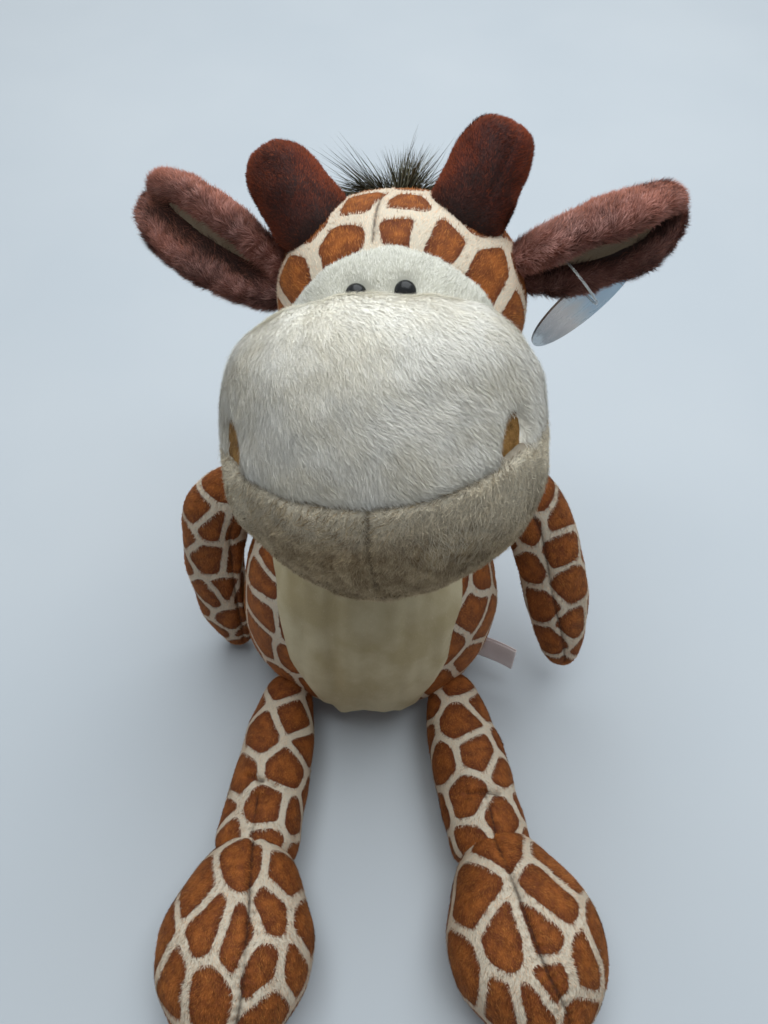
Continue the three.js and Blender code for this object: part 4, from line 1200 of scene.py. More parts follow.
@dataclass(frozen=True)
class Strands:
    """A tuft of loose hair, each strand a ribbon that narrows and bends in its clump."""

    count: int
    length: float
    width: float
    spread: float
    flare: float
    curl: float
    seed: int
    clumps: int = 26
    low: float = -math.inf

    def make(
        self, name: str, root: Array, along: Array, side: Array, hold: Hold, node: str, depth: float
    ) -> None:
        """Makes the strands.

        A point at share t of a strand is root + length t (along + flare t) + curl t^2 bend,
        with the flare outward from the tuft's middle, shared by a clump, plus a little wave.

        Args:
            name: the piece's name.
            root: the middle of the roots.
            along: the direction that the tuft points in.
            side: the direction that it is widest in.
            hold: how it follows the bodies.
            node: the CAD node that it stands for, or nothing.
            depth: width of the roots across the side.
        """
        rng = np.random.default_rng(self.seed)
        along, side = unit(along), unit(side)
        other = np.cross(along, side)
        clump = rng.integers(0, self.clumps, self.count)
        place = rng.uniform(-1, 1, (self.clumps, 2))[clump]
        place = place + 0.22 * rng.normal(size=(self.count, 2))
        bend = rng.normal(size=(self.clumps, 3))[clump] + 0.4 * rng.normal(size=(self.count, 3))
        size = rng.uniform(0.6, 1.0, self.clumps)[clump] * rng.uniform(0.75, 1.05, self.count)
        size = (self.length * size)[:, None, None]
        t = np.linspace(0, 1, 8)[None, :, None]
        outward = side * place[:, :1] + other * place[:, 1:] * depth / self.spread
        start = root + side * place[:, :1] * self.spread / 2 + other * place[:, 1:] * depth / 2
        path = start[:, None] + size * t * (along + outward[:, None] * self.flare * t)
        path += self.curl * t**2 * bend[:, None]
        wave = np.sin(9 * t + rng.uniform(0, 6, (self.count, 1, 1)))
        path += 0.5 * wave * t * unit(bend)[:, None]
        path[..., 2] = np.maximum(path[..., 2], self.low)
        slope = unit(np.gradient(path, axis=1))
        flat = unit(np.cross(slope, unit(rng.normal(size=(self.count, 3)))[:, None]))
        half = flat * (self.width / 2) * (1.02 - t**1.6)
        both = np.stack([path - half, path + half], axis=2)
        steps = both.shape[1]
        index = np.arange(self.count * steps * 2).reshape(self.count, steps, 2)
        ribbon = [index[:, :-1, 0], index[:, :-1, 1], index[:, 1:, 1], index[:, 1:, 0]]
        quads = np.stack(ribbon, -1).reshape(-1, 4)
        uneven = 0.3 * rng.normal(size=path.shape)
        normals = unit(outward[:, None] + 0.5 * other + 0.5 * along + uneven)
        # height, 0 at the root and 1 at the tip, sets the hair's painted root shade and tip light
        marks = {
            "height": np.broadcast_to(t, (self.count, steps, 2)).ravel(),
            "tone": np.repeat(rng.random(self.count), steps * 2),
            "crease": np.zeros(self.count * steps * 2),
        }
        piece = make_piece(name, both.reshape(-1, 3), (quads,), marks, HAIR.material(),
                           np.repeat(normals, 2, axis=1).reshape(-1, 3))
        hold.take(piece)
        if node:
            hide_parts(node)


@dataclass
class Head:
    """The head: muzzle, jaw, nostrils, skull, face panel, eyes, horns and hair tuft."""

    middle: tuple[float, float, float] = (5.5, -21.0, 169.0)
    pitch: float = 48.0
    yaw: float = 10.0
    roll: float = 2.5
    muzzle_size: tuple[float, float, float] = (95.0, 87.0, 75.0)
    skull_size: tuple[float, float, float] = (83.0, 76.0, 76.0)
    skull_middle: tuple[float, float, float] = (0.0, 48.5, 45.0)
    spine_shares: tuple[float, ...] = (-0.5, -0.17, 0.17, 0.5)
    mouth_drop: float = 0.6
    mouth_slope: float = 19.0
    smile: float = 9.0
    horn_length: float = 39.5
    horn_radius: float = 12.8
    eye_radius: float = 3.3
    eye_rise: float = 1.0
    nostril_rise: float = 3.0
    nostril_turn: float = 56.12
    nostril_reach: float = 44.0
    nostril_half: tuple[float, float] = (5.2, 9.0)
    nostril_slant: float = 0.18
    hold: Hold = Hold("head")
    muzzle_cover: Cover = Cover(CREAM, Pile(66000, 3.6, 0.13, lean=72, swirl=15, fine=False,
                                            ruffle=0.2, clump=0.5, clump_size=4.0, mottle=0.45,
                                            seed=33), 0.95)
    underfur: Pile = Pile(170000, 1.8, 0.18, lean=60, swirl=26, ruffle=0.16, clump=0.3,
                          clump_size=3.0, mottle=0.4, seed=35)
    jaw_cover: Cover = Cover(JAW_SHADED, Pile(90000, 1.8, 0.24, lean=50, swirl=70, clump=0.5,
                                       clump_size=3.2, mottle=0.5, seed=34), 0.9)
    jaw_strands: Pile = Pile(16000, 3.8, 0.15, lean=74, swirl=26, fine=False, clump=0.6,
                             mottle=0.5, seed=36)
    skull_cover: Cover = Cover(PRINT, Pile(52000, 1.8, 0.32, lean=62, seed=43), 0.95)
    skull_spots: tuple[tuple[float, int], ...] = (
        (0.72, 250), (0.769, 279), (0.87, 283), (0.91, 255), (0.73, 298), (0.56, 318), (0.60, 223),
        (0.42, 339), (0.84, 225), (0.84, 315), (0.42, 205),
    )
    face_nap: Pile = Pile(26000, 1.7, 0.26, lean=60, seed=52)
    nostril_cover: Cover = Cover(NOSTRIL, Pile(3000, 0.8, 0.2, lean=50, seed=61), coat="nap")
    horn_cover: Cover = Cover(HORN, Pile(34000, 1.5, 0.24, lean=44, swirl=40, mottle=0.4, seed=72),
                              0.95)

    def matrix(self) -> Array:
        """Where the head's own frame stands."""
        return (shift(*self.middle) @ turn(Axis.X, -self.pitch) @ turn(Axis.Z, -self.yaw)
                @ turn(Axis.Y, -self.roll))

    def local(self, skin: Skin) -> Array:
        """A placed skin's points in the head's own frame."""
        matrix = self.matrix()
        return (skin.points - matrix[:3, 3]) @ matrix[:3, :3]

    def muzzle_form(self) -> Form:
        """The muzzle and jaw together, in the head's frame."""
        w, h, d = self.muzzle_size
        spine = tuple((0.0, 0.0, h * share) for share in self.spine_shares)
        return Form(spine, scaled(w, d, (0.96, 1, 1, 0.94)), (1, 0, 0), (2.05, 3.4))

    def skull_form(self) -> Form:
        """The skull, in the head's frame."""
        w, h, d = self.skull_size
        x, y, z = self.skull_middle
        spine = tuple((x, y, z + h * share) for share in self.spine_shares)
        return Form(spine, scaled(w, d, (0.92, 1, 1, 0.96)), (1, 0, 0), (2.2, 2.4))

    def over_mouth(self, points: Array) -> Array:
        """How far above the mouth's line a point lies; the line lifts toward the cheeks."""
        line = (-self.mouth_drop + math.tan(math.radians(self.mouth_slope)) * points[:, 1]
                + self.smile * (points[:, 0] / 47) ** 2)
        return points[:, 2] - line

    def half(self, sign: int) -> tuple[Skin, Array, Array]:
        """The same form for one side of the mouth.

        Args:
            sign: 1 for the muzzle and -1 for the jaw.

        Returns:
            The skin, how far its points lie past the mouth's line, and its soft lumps.
        """
        skin = self.muzzle_form().skin(120, 200, (271,))
        lumps = 0.8 * ripple(skin.points, 38, 31) + 0.25 * ripple(skin.points, 12, 32)
        return skin, sign * self.over_mouth(skin.points), lumps

    def tucked(self, over: Array, depth: float, width: float) -> Array:
        """Painted shade in the fold of a lip beside the mouth's line, and over the hidden cloth
        past it.
        """
        return np.maximum(depth * bell(over, width), 0.9 * smooth(-over, 0.0, 0.6))

    def close(self, skin: Skin, over: Array, lumps: Array) -> None:
        """Pushes the lumps out, the lips in, and in further past the mouth's line."""
        front = 1 - smooth(np.abs(skin.points[:, 0]), 34, 42)
        lip = bell(over, 1.8) * (0.35 + 0.65 * front)
        skin.push(lumps - lip - 5.5 * smooth(-over, 0.0, 3.4))

    def from_eye(self, points: Array, side: Side) -> Array:
        """Distance of points in the head's frame from an eye."""
        return np.linalg.norm(points - self.eye_place(side)[:3, 3], axis=1)

    def nostril_at(self, side: Side) -> tuple[float, float]:
        """Share and angle of a nostril's middle on the muzzle."""
        share = self.nostril_rise / self.muzzle_size[1] + 0.5
        return share, math.radians(270 + side.value * self.nostril_turn)

    def oval(self, skin: Skin, side: Side) -> Array:
        """Distance from a nostril's middle, 1 on its edge."""
        share, angle = self.nostril_at(side)
        across = (np.mod(skin.angle - angle + np.pi, 2 * np.pi) - np.pi) * self.nostril_reach
        up = (skin.share - share) * self.muzzle_size[1]
        half_width, half_height = self.nostril_half
        slanted = across - side.value * self.nostril_slant * up
        return np.hypot(slanted / half_width, up / half_height)

    def build(self) -> None:
        """Makes every piece of the head."""
        self.muzzle()
        self.jaw()
        self.skull()
        self.face()
        for side in Side:
            self.nostril(side)
            self.eye(side)
            self.horn(side)
        self.tuft()

    def muzzle(self) -> None:
        """Makes the muzzle: the form above the mouth, in long pile over an underfur."""
        skin, over, lumps = self.half(1)
        for side in Side:
            lumps -= 2.9 * np.exp(-self.oval(skin, side) ** 4)
            lumps -= 3.0 * bell(self.from_eye(skin.points, side), 12)
        # painted shade: the muzzle darker toward the mouth, over the lip's painted shade
        deep = 0.24 * (1 - smooth(over, 3, 44)) * (0.7 + 0.3 * ripple(skin.points, 7, 37))
        skin.mark("crease", np.maximum(self.tucked(over, 0.8, 0.6), deep))
        self.close(skin, over, lumps)
        skin.place(self.matrix())
        local = self.local(skin)
        shown, by_eye = smooth(over, -0.5, 0.8), 1.0
        for side in Side:
            shown = shown * smooth(self.oval(skin, side), 0.72, 1.0)
            by_eye = by_eye * smooth(self.from_eye(local, side), 3.4, 6)
        comb = swung(self.matrix(), columns(local[:, 0] * 0.014 + 0.6, -0.15, -1.0))
        near_eyes = bell(np.linalg.norm(local - [0, 13, 44], axis=1), 18)
        long = shown * (1 - near_eyes) * (1 - 0.7 * smooth(local[:, 2], 14, 40))
        self.muzzle_cover.clothe("muzzle", None, skin, self.hold, comb, long)
        fur("muzzle_underfur", skin, CREAM, self.hold, self.underfur, comb, shown * by_eye)

    def jaw(self) -> None:
        """Makes the jaw: the form below the mouth, with its chin seam and brushed-down strands."""
        skin, over, lumps = self.half(-1)
        # painted shade by the lip; the cheek mark brings back the unshaded cream of the
        # painted-shade jaw finish on the outer cheeks and just below the mouth
        skin.mark("crease", self.tucked(over, 0.85, 0.9))
        cheek = smooth(np.abs(skin.points[:, 0]), 22, 40) * smooth(-over, -30, -6)
        skin.mark("cheek", np.maximum(cheek, 0.9 * smooth(-over, -19, -1)))
        self.close(skin, over, lumps)
        chin = seam_line(self.muzzle_form(), [(0.34, 272), (0.2, 271), (0.06, 270)])
        skin.sew(chin, 1.0, 1.5, 0.15).place(self.matrix())
        shown = smooth(over, -0.5, 0.8)
        self.jaw_cover.clothe("jaw", None, skin, self.hold, np.array([0.1, -0.1, -1.0]), shown)
        brushed = smooth(self.local(skin)[:, 0], 0, 26) * smooth(over, 0.5, 3)
        brushed = brushed * (1 - smooth(over, 12, 34))
        skin.mark("cheek", 0.75 * brushed)
        fur("jaw_strands", skin, JAW_SHADED, self.hold, self.jaw_strands, np.array([-0.6, -0.3, -1.0]),
            0.25 * shown + 0.75 * brushed)

    def skull(self) -> None:
        """Makes the skull with its midline seam, in printed pile."""
        form, matrix = self.skull_form(), self.matrix()
        skin = form.skin(120, 190, (90, 266))
        skin.swell(0.6, 36, 41)
        skin.sew(seam_line(form, [(0.72, 266), (0.85, 266), (0.97, 266)]), 0.7, 1.2, 0.12)
        skin.sew(seam_line(form, [(0.97, 90), (0.6, 90), (0.2, 90)]), 0.8, 1.3, 0.12)
        prints = Patches(16.0, 4.2, bend=1.4, seed=42)
        skin.mark("patch", prints.inside(skin.points, spots_on(form, self.skull_spots)))
        comb = swung(matrix, columns(skin.points[:, 0] * 0.02, 0.4, 1.0))
        self.skull_cover.clothe("skull", None, skin.place(matrix), self.hold, comb)

    def face(self) -> None:
        """Makes the cream panel over the eyes, standing proud of the skull."""
        half, low = 35.0, 22
        x = np.linspace(-1, 1, 100)
        rise = np.linspace(0, 1, 60)
        arch = np.interp(np.abs(x), [0, 0.15, 0.5, 0.82, 0.97, 1], [1, 0.99, 0.85, 0.58, 0.3, 0.2])
        top = 29 + 32 * arch
        z = low + (top[None, :] - low) * rise[:, None]
        share = (z - self.skull_middle[2]) / self.skull_size[1] + 0.5
        angle = 1.5 * np.pi + np.arcsin(x * half / (self.skull_size[0] / 2))[None, :] + 0 * z
        skin = patch_skin(self.skull_form(), share, angle)
        edge = np.maximum(np.abs(x)[None, :] ** 10, rise[:, None] ** 14).ravel()
        skin.push(1.9 - 3.0 * edge + 0.3 * ripple(skin.points, 18, 51))
        # the cheek colour over the whole panel: a darker cream, painted shade over the face
        skin.mark("cheek", np.ones(len(skin.points)))
        bare = 1.0
        for side in Side:
            away = self.from_eye(skin.points, side)
            skin.push(-1.3 * bell(away, 5.5))
            bare = bare * smooth(away, 3.4, 5.5)
        comb = swung(self.matrix(), columns(skin.points[:, 0] * 0.03, 0.0, 1.0))
        # painted shade along the panel's tucked-in edge
        skin.mark("crease", 0.6 * smooth(edge, 0.5, 1.0)).place(self.matrix())
        soft("face_cloth", skin, CREAM, self.hold, "face_panel")
        fur("face_pile", skin, CREAM, self.hold, self.face_nap, comb, (edge < 0.95) * bare)

    def nostril(self, side: Side) -> None:
        """Makes a nostril: a velvet oval laid in its dimple."""
        share, angle = self.nostril_at(side)
        half_width, half_height = self.nostril_half
        ring = np.linspace(0, 1.12, 22)[:, None]
        round_ = np.linspace(0, 2 * np.pi, 49)[None, :]
        up = ring * np.sin(round_) * half_height
        across = ring * np.cos(round_) * half_width - side.value * self.nostril_slant * up
        skin = patch_skin(self.muzzle_form(), share + up / self.muzzle_size[1],
                          angle - across / self.nostril_reach)
        skin.push(-1.3 - 0.5 * (1 - ring**2 + 0 * round_).ravel())
        # painted shade toward the nostril's rim
        skin.mark("crease", (0.5 * ring**4 + 0 * round_).ravel()).place(self.matrix())
        down = swung(self.matrix(), (0, 0, -1))
        self.nostril_cover.clothe("nostril", side, skin, self.hold, down)

    def eye_place(self, side: Side) -> Array:
        """Where an eye sits in the head's frame: its matrix with +Z outward."""
        _, y, z = self.skull_middle
        start = np.array([side.value * 2.88, y, z + self.eye_rise])
        aim = np.array([side.value * 7.2, y - self.skull_size[2] / 2, start[2]])
        along = unit(aim - start)
        w, d = self.skull_size[0] / 2, self.skull_size[2] / 2
        a = (along[0] / w) ** 2 + (along[1] / d) ** 2
        b = 2 * start[0] * along[0] / w**2
        c = (start[0] / w) ** 2 - 1
        proud = 2.1
        reach = (-b + math.sqrt(b * b - 4 * a * c)) / (2 * a) + proud
        up = np.array([0.0, 0.0, 1.0])
        across = unit(np.cross(up, along))
        place = np.eye(4)
        place[:3, 0], place[:3, 1], place[:3, 2] = across, np.cross(along, across), along
        place[:3, 3] = start + along * reach
        return place

    def eye(self, side: Side) -> None:
        """Makes a safety eye: a turned dome on a thin flange, its stem inside the head."""
        r, stem, deep, lip = self.eye_radius, 1.2, -9, 0.15
        arc = np.linspace(0, np.pi / 2, 22)
        radius = np.concatenate([[0, stem, stem, r - lip, r], r * np.cos(arc[1:])])
        height = np.concatenate([[deep, deep, 0, 0, lip], 0.8 + 0.8 * r * np.sin(arc[1:])])
        round_ = np.linspace(0, 2 * np.pi, 41)
        points = np.stack([radius[:, None] * np.cos(round_), radius[:, None] * np.sin(round_),
                           height[:, None] + 0 * round_], -1)
        skin = open_skin(points).place(self.matrix() @ self.eye_place(side))
        piece = make_piece(f"eye_dome_{side.word}", skin.points, (skin.quads,), {}, EYE.material())
        self.hold.take(piece)
        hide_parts(f"eye_{side.word}")

    def horn(self, side: Side) -> None:
        """Makes a horn: a short stuffed knob in velvet with a seam down one side."""
        _, y, z = self.skull_middle
        thick, last = 2 * self.horn_radius, 4
        spine = tuple((0.0, 0.0, self.horn_length * i / last) for i in range(last + 1))
        form = Form(spine, scaled(thick, thick, (0.98, 1, 0.98, 0.95, 0.9)), (1, 0, 0), (5, 3))
        skin = form.skin(80, 96)
        skin.swell(0.45, 16, 71 + side.value)
        skin.sew(seam_line(form, [(0.1, 300), (0.6, 300), (0.99, 300)]), 0.4, 0.9)
        # painted shade at the horn's foot against the skull, with half the seam's painted shade
        foot = 0.95 * smooth(-skin.points[:, 2], -17, -5)
        skin.mark("crease", np.maximum(skin.marks["crease"] * 0.5, foot))
        place = self.matrix() @ (shift(side.value * 20, y - 14, z + 19) @ turn(Axis.X, -4)
                                 @ turn(Axis.Y, side.pick(34, 28) * side.value))
        skin.place(place)
        self.horn_cover.clothe("horn", side, skin, self.hold, swung(place, (0, 0, 1)))

    def tuft(self) -> None:
        """Makes the hair tuft on the crown: short wisps and a few longer strands."""
        matrix = self.matrix()
        root, across = carried(matrix, 0.0, 52.0, 81.0), swung(matrix, (1, 0, 0))
        lock = Strands(1100, 10.5, 0.4, spread=18.0, flare=2.1, curl=4.0, seed=81, clumps=22)
        lock.make("crown_hair", root, swung(matrix, (0.12, 0.1, 1)), across, self.hold, "hair_tuft",
                  8.0)
        wisp = Strands(7, 30.0, 0.32, spread=1.5, flare=0.1, curl=2.5, seed=83, clumps=2)
        wisp.make("crown_wisp", root, swung(matrix, (0.1, 0.1, 1)), across, self.hold, "", 1.0)


@dataclass
class Ear:
    """An ear: a leaf of long pile rolled into a trough, with thick rims and a cloth lining.

    At share s the leaf is w = width share E wide and d = thickness share E^0.8 thick to
    either side, but at most 0.62 R, with E the same rounding of the ends as a stuffed form's.
    Its section is bent on an arc of radius R = w / curl: a point at angle a lies
    curl sgn(cos a)|cos a|^0.8 round the arc, at the distance R - d sgn(sin a)|sin a|^0.8 from
    the arc's middle.
    """

    side: Side
    head: Head
    width: float = 36.0
    thickness: float = 12.5
    width_shares: tuple[float, ...] = (0.72, 0.86, 1.0, 1.0, 0.94)
    thickness_shares: tuple[float, ...] = (0.9, 0.95, 1.0, 1.0, 0.95)
    powers: tuple[float, float] = (3.0, 3.0)
    liner_half: float = 0.5
    cover: Cover = Cover(EAR, Pile(60000, 4.2, 0.24, lean=48, swirl=34, fine=False, clump=1.1,
                                   clump_size=5.5, mottle=0.5, seed=93), 0.7)
    lining_cover: Cover = Cover(LINING, Pile(6000, 0.7, 0.22, lean=60, seed=95), coat="nap")

    @property
    def length(self) -> float:
        """The ear's length; the right one is folded tighter."""
        return self.side.pick(66.0, 58.0)

    @property
    def curl(self) -> float:
        """How far each half of the leaf is bent round, in radians."""
        return self.side.pick(1.85, 2.05)

    @property
    def liner(self) -> float:
        """The angle of the lining's middle, in radians."""
        return self.side.pick(1.0, 1.78)

    @property
    def roll(self) -> float:
        """How far the trough's opening turns down, in degrees."""
        return self.side.pick(-6.0, 34.0)

    def surface(self, share: Array, angle: Array, lift: float = 0.0) -> Array:
        """The leaf's points at shares and angles, in its own frame, or lifted off its front."""
        knots = columns(np.array(self.width_shares) * self.width / 2,
                        np.array(self.thickness_shares) * self.thickness / 2)
        size, _ = catmull(knots, share)
        drawn = drawn_in(share, self.powers)
        arc = size[:, 0] * drawn / self.curl
        thick = np.minimum(size[:, 1] * drawn**0.8, 0.62 * arc)
        c, s = np.cos(angle), np.sin(angle)
        bend = self.curl * np.sign(c) * np.abs(c) ** 0.8
        away = arc - thick * np.sign(s) * np.abs(s) ** 0.8 - lift
        y = away * np.cos(bend) - arc + 2.0
        z = away * np.sin(bend)
        points = np.stack([self.length * share, y, z], axis=1)
        middle = 4
        return placed(points, shift(0, -middle, 0) @ turn(Axis.X, self.roll) @ shift(0, middle, 0))

    def place(self) -> Array:
        """Where the ear's own frame stands."""
        _, y, z = self.head.skull_middle
        root = (self.side.value * self.side.pick(36.5, 37.0), y - 3, z + 7)
        return (self.head.matrix() @ shift(*root) @ mirrored(self.side) @ turn(Axis.Z, 8)
                @ turn(Axis.Y, self.side.pick(-36, -19)) @ turn(Axis.X, 14))

    def build(self) -> None:
        """Makes the leaf, its pile and its lining."""
        node, place = f"ear_{self.side.word}", self.place()
        skin = closed_skin(self.surface, 100, 130)
        skin.swell(0.6, 20, 91 + self.side.value)
        # painted shade in the trough's hollow, and toward the rim at cos a < 0, the lower lip
        inside = (smooth(np.sin(skin.angle), 0.1, 0.7) * smooth(skin.share, 0.06, 0.2)
                  * (1 - smooth(skin.share, 0.88, 0.97)))
        low = smooth(-np.cos(skin.angle), 0.0, 0.7) * self.side.pick(0.25, 0.6)
        skin.mark("crease", np.maximum(1.1 * inside, low))
        away = np.hypot((skin.share - 0.54) / 0.31,
                        (skin.angle - self.liner) / (1.15 * self.liner_half))
        shown = (1 - 0.6 * inside) * smooth(away, 0.9, 1.1)
        comb = columns(1.0, 0.25 * np.cos(skin.angle), 0.35 * np.sin(3 * skin.share))
        root, tip = carried(place, 0, 0, 0), carried(place, 12, 0, 0)
        hold = Hold("head", node, tuple(root - (tip - root) * 0.5), tuple(tip))
        self.cover.clothe("ear", self.side, skin.place(place), hold, swung(place, comb), shown)
        self.lining(place, Hold(node))

    def lining(self, place: Array, hold: Hold) -> None:
        """Makes the lining: a narrow leaf of short cloth laid in the trough."""
        rows, width, lift = 50, 40, 1.2
        u = np.linspace(0, 1, rows)
        wide = self.liner_half * np.sqrt((1 - (2 * u - 1) ** 2).clip(0)) + 0.01
        share = np.repeat((0.26 + 0.56 * u)[:, None], width, axis=1)
        angle = self.liner + wide[:, None] * np.linspace(-1, 1, width)[None, :]
        points = self.surface(share.ravel(), angle.ravel(), lift).reshape(rows, width, 3)
        skin = open_skin(points).place(place)
        self.lining_cover.clothe("ear_lining", self.side, skin, hold, swung(place, (1, 0, 0)))


ARM_SEAMS = {
    Side.LEFT: ((0.3, 216), (0.6, 214), (0.97, 210)),
    Side.RIGHT: ((0.4, 180), (0.5, 182), (0.61, 188), (0.73, 189), (0.97, 176)),
}
ARM_SPOTS = {
    Side.LEFT: ((0.256, 121), (0.395, 181), (0.543, 173), (0.687, 193), (0.371, 135), (0.707, 162),
                (0.83, 203), (0.375, 214)),
    Side.RIGHT: ((0.363, 141), (0.461, 128), (0.435, 208), (0.56, 155), (0.59, 226), (0.68, 152),
                 (0.74, 222), (0.83, 150), (0.88, 210)),
}
LEG_SPOTS = {
    Side.LEFT: ((0.1, 107), (0.395, 117), (0.289, 59), (0.58, 56), (0.625, 143), (0.42, 24),
                (0.79, 74), (0.822, 168), (0.95, 66), (0.801, 32)),
    Side.RIGHT: ((0.088, 65), (0.17, 179), (0.33, 90), (0.506, 79), (0.523, 148), (0.641, 38),
                 (0.72, 117), (0.86, 66), (0.95, 129), (0.986, 15), (0.342, 190), (0.785, 13)),
}
FOOT_SEAMS = {
    Side.LEFT: ((0.06, 87), (0.2, 83), (0.4, 79), (0.6, 76), (0.83, 70), (0.97, 64)),
    Side.RIGHT: ((0.06, 90), (0.3, 90), (0.45, 90), (0.6, 90), (0.73, 88), (0.87, 80), (0.97, 72)),
}
FOOT_SPOTS = {
    Side.LEFT: ((0.33, 131), (0.19, 94), (0.49, 107), (0.211, 42), (0.395, 60), (0.531, 84),
                (0.641, 62), (0.428, 25), (0.588, 34), (0.773, 100), (0.728, 133), (0.543, 154),
                (0.797, 44)),
    Side.RIGHT: ((0.297, 128), (0.408, 64), (0.272, 36), (0.518, 110), (0.588, 155), (0.555, 83),
                 (0.732, 56), (0.662, 26), (0.74, 86), (0.78, 136), (0.84, 108), (0.908, 62)),
}


@dataclass
class Arm:
    """An arm: a stuffed limb that hangs from its shoulder and flattens against the body."""

    side: Side
    trunk: Trunk
    drop: float = 92.0
    reach: float = 20.0
    width: float = 27.0
    thickness: float = 21.5
    shoulder: tuple[float, float, float] = (42.0, 19.0, 94.0)
    out_shares: tuple[float, ...] = (-0.5, 0.3, 0.92, 1.08, 1.05, 0.9)
    drop_shares: tuple[float, ...] = (-0.02, 0.0, 0.13, 0.4, 0.7, 1.02)
    girth_shares: tuple[float, ...] = (0.7, 0.8, 0.94, 1.0, 1.0, 0.86)
    cover: Cover = Cover(PRINT, Pile(34000, 1.6, 0.32, lean=62, seed=105), 0.8)

    def build(self) -> None:
        """Makes the arm and its pile."""
        side, out = self.side, self.side.value
        swing, splay = side.pick((13.0, 0.0), (27.0, 15.0))
        x, y, z = out * self.shoulder[0], self.shoulder[1], self.shoulder[2]
        place = (shift(x, y, z) @ turn(Axis.X, -swing) @ turn(Axis.Y, -splay * out)
                 @ mirrored(side))
        spine = tuple((self.reach * away, 0.0, -self.drop * down)
                      for away, down in zip(self.out_shares, self.drop_shares))
        form = Form(spine, scaled(self.thickness, self.width, self.girth_shares), (0, 1, 0), (6, 3))
        skin = form.skin(110, 100, side.pick((213, 217), (182, 186, 190)))
        skin.swell(0.5, 22, 101 + out)
        skin.sew(seam_line(form, ARM_SEAMS[side]), 0.9, 1.3, 0.12)
        local = skin.points.copy()
        self.flatten(skin.place(place), y, z)
        prints = Patches(13.0, 2.3, bend=0.7, seed=103 + out)
        skin.mark("patch", prints.inside(local, spots_on(form, ARM_SPOTS[side])))
        hold = Hold("body", f"arm_{side.word}", (x - out * 6, y, z), (x + out * 8, y, z))
        self.cover.clothe("arm", side, skin, hold, swung(place, (0, 0, -1)))

    def flatten(self, skin: Skin, y: float, z: float) -> None:
        """Keeps the arm beside the body.

        A point at distance r from the shoulder's axis stays outside the body's widest half
        width between the shoulder and r below it, except close to the shoulder.

        Args:
            skin: the placed arm.
            y: the shoulder's place from front to back.
            z: the shoulder's height.
        """
        gap, sunk = 0.8, 14
        from_axis = np.hypot(skin.points[:, 1] - y, skin.points[:, 2] - z)
        steps = np.linspace(0, 150, 151)
        widest = np.maximum.accumulate(self.trunk.half_width(np.clip(z - steps, 0, None)))
        limit = np.interp(from_axis, steps, widest) + gap - sunk * (1 - smooth(from_axis, 8, 18))
        out = skin.points[:, 0] * self.side.value
        skin.points[:, 0] = self.side.value * np.maximum(out, limit)


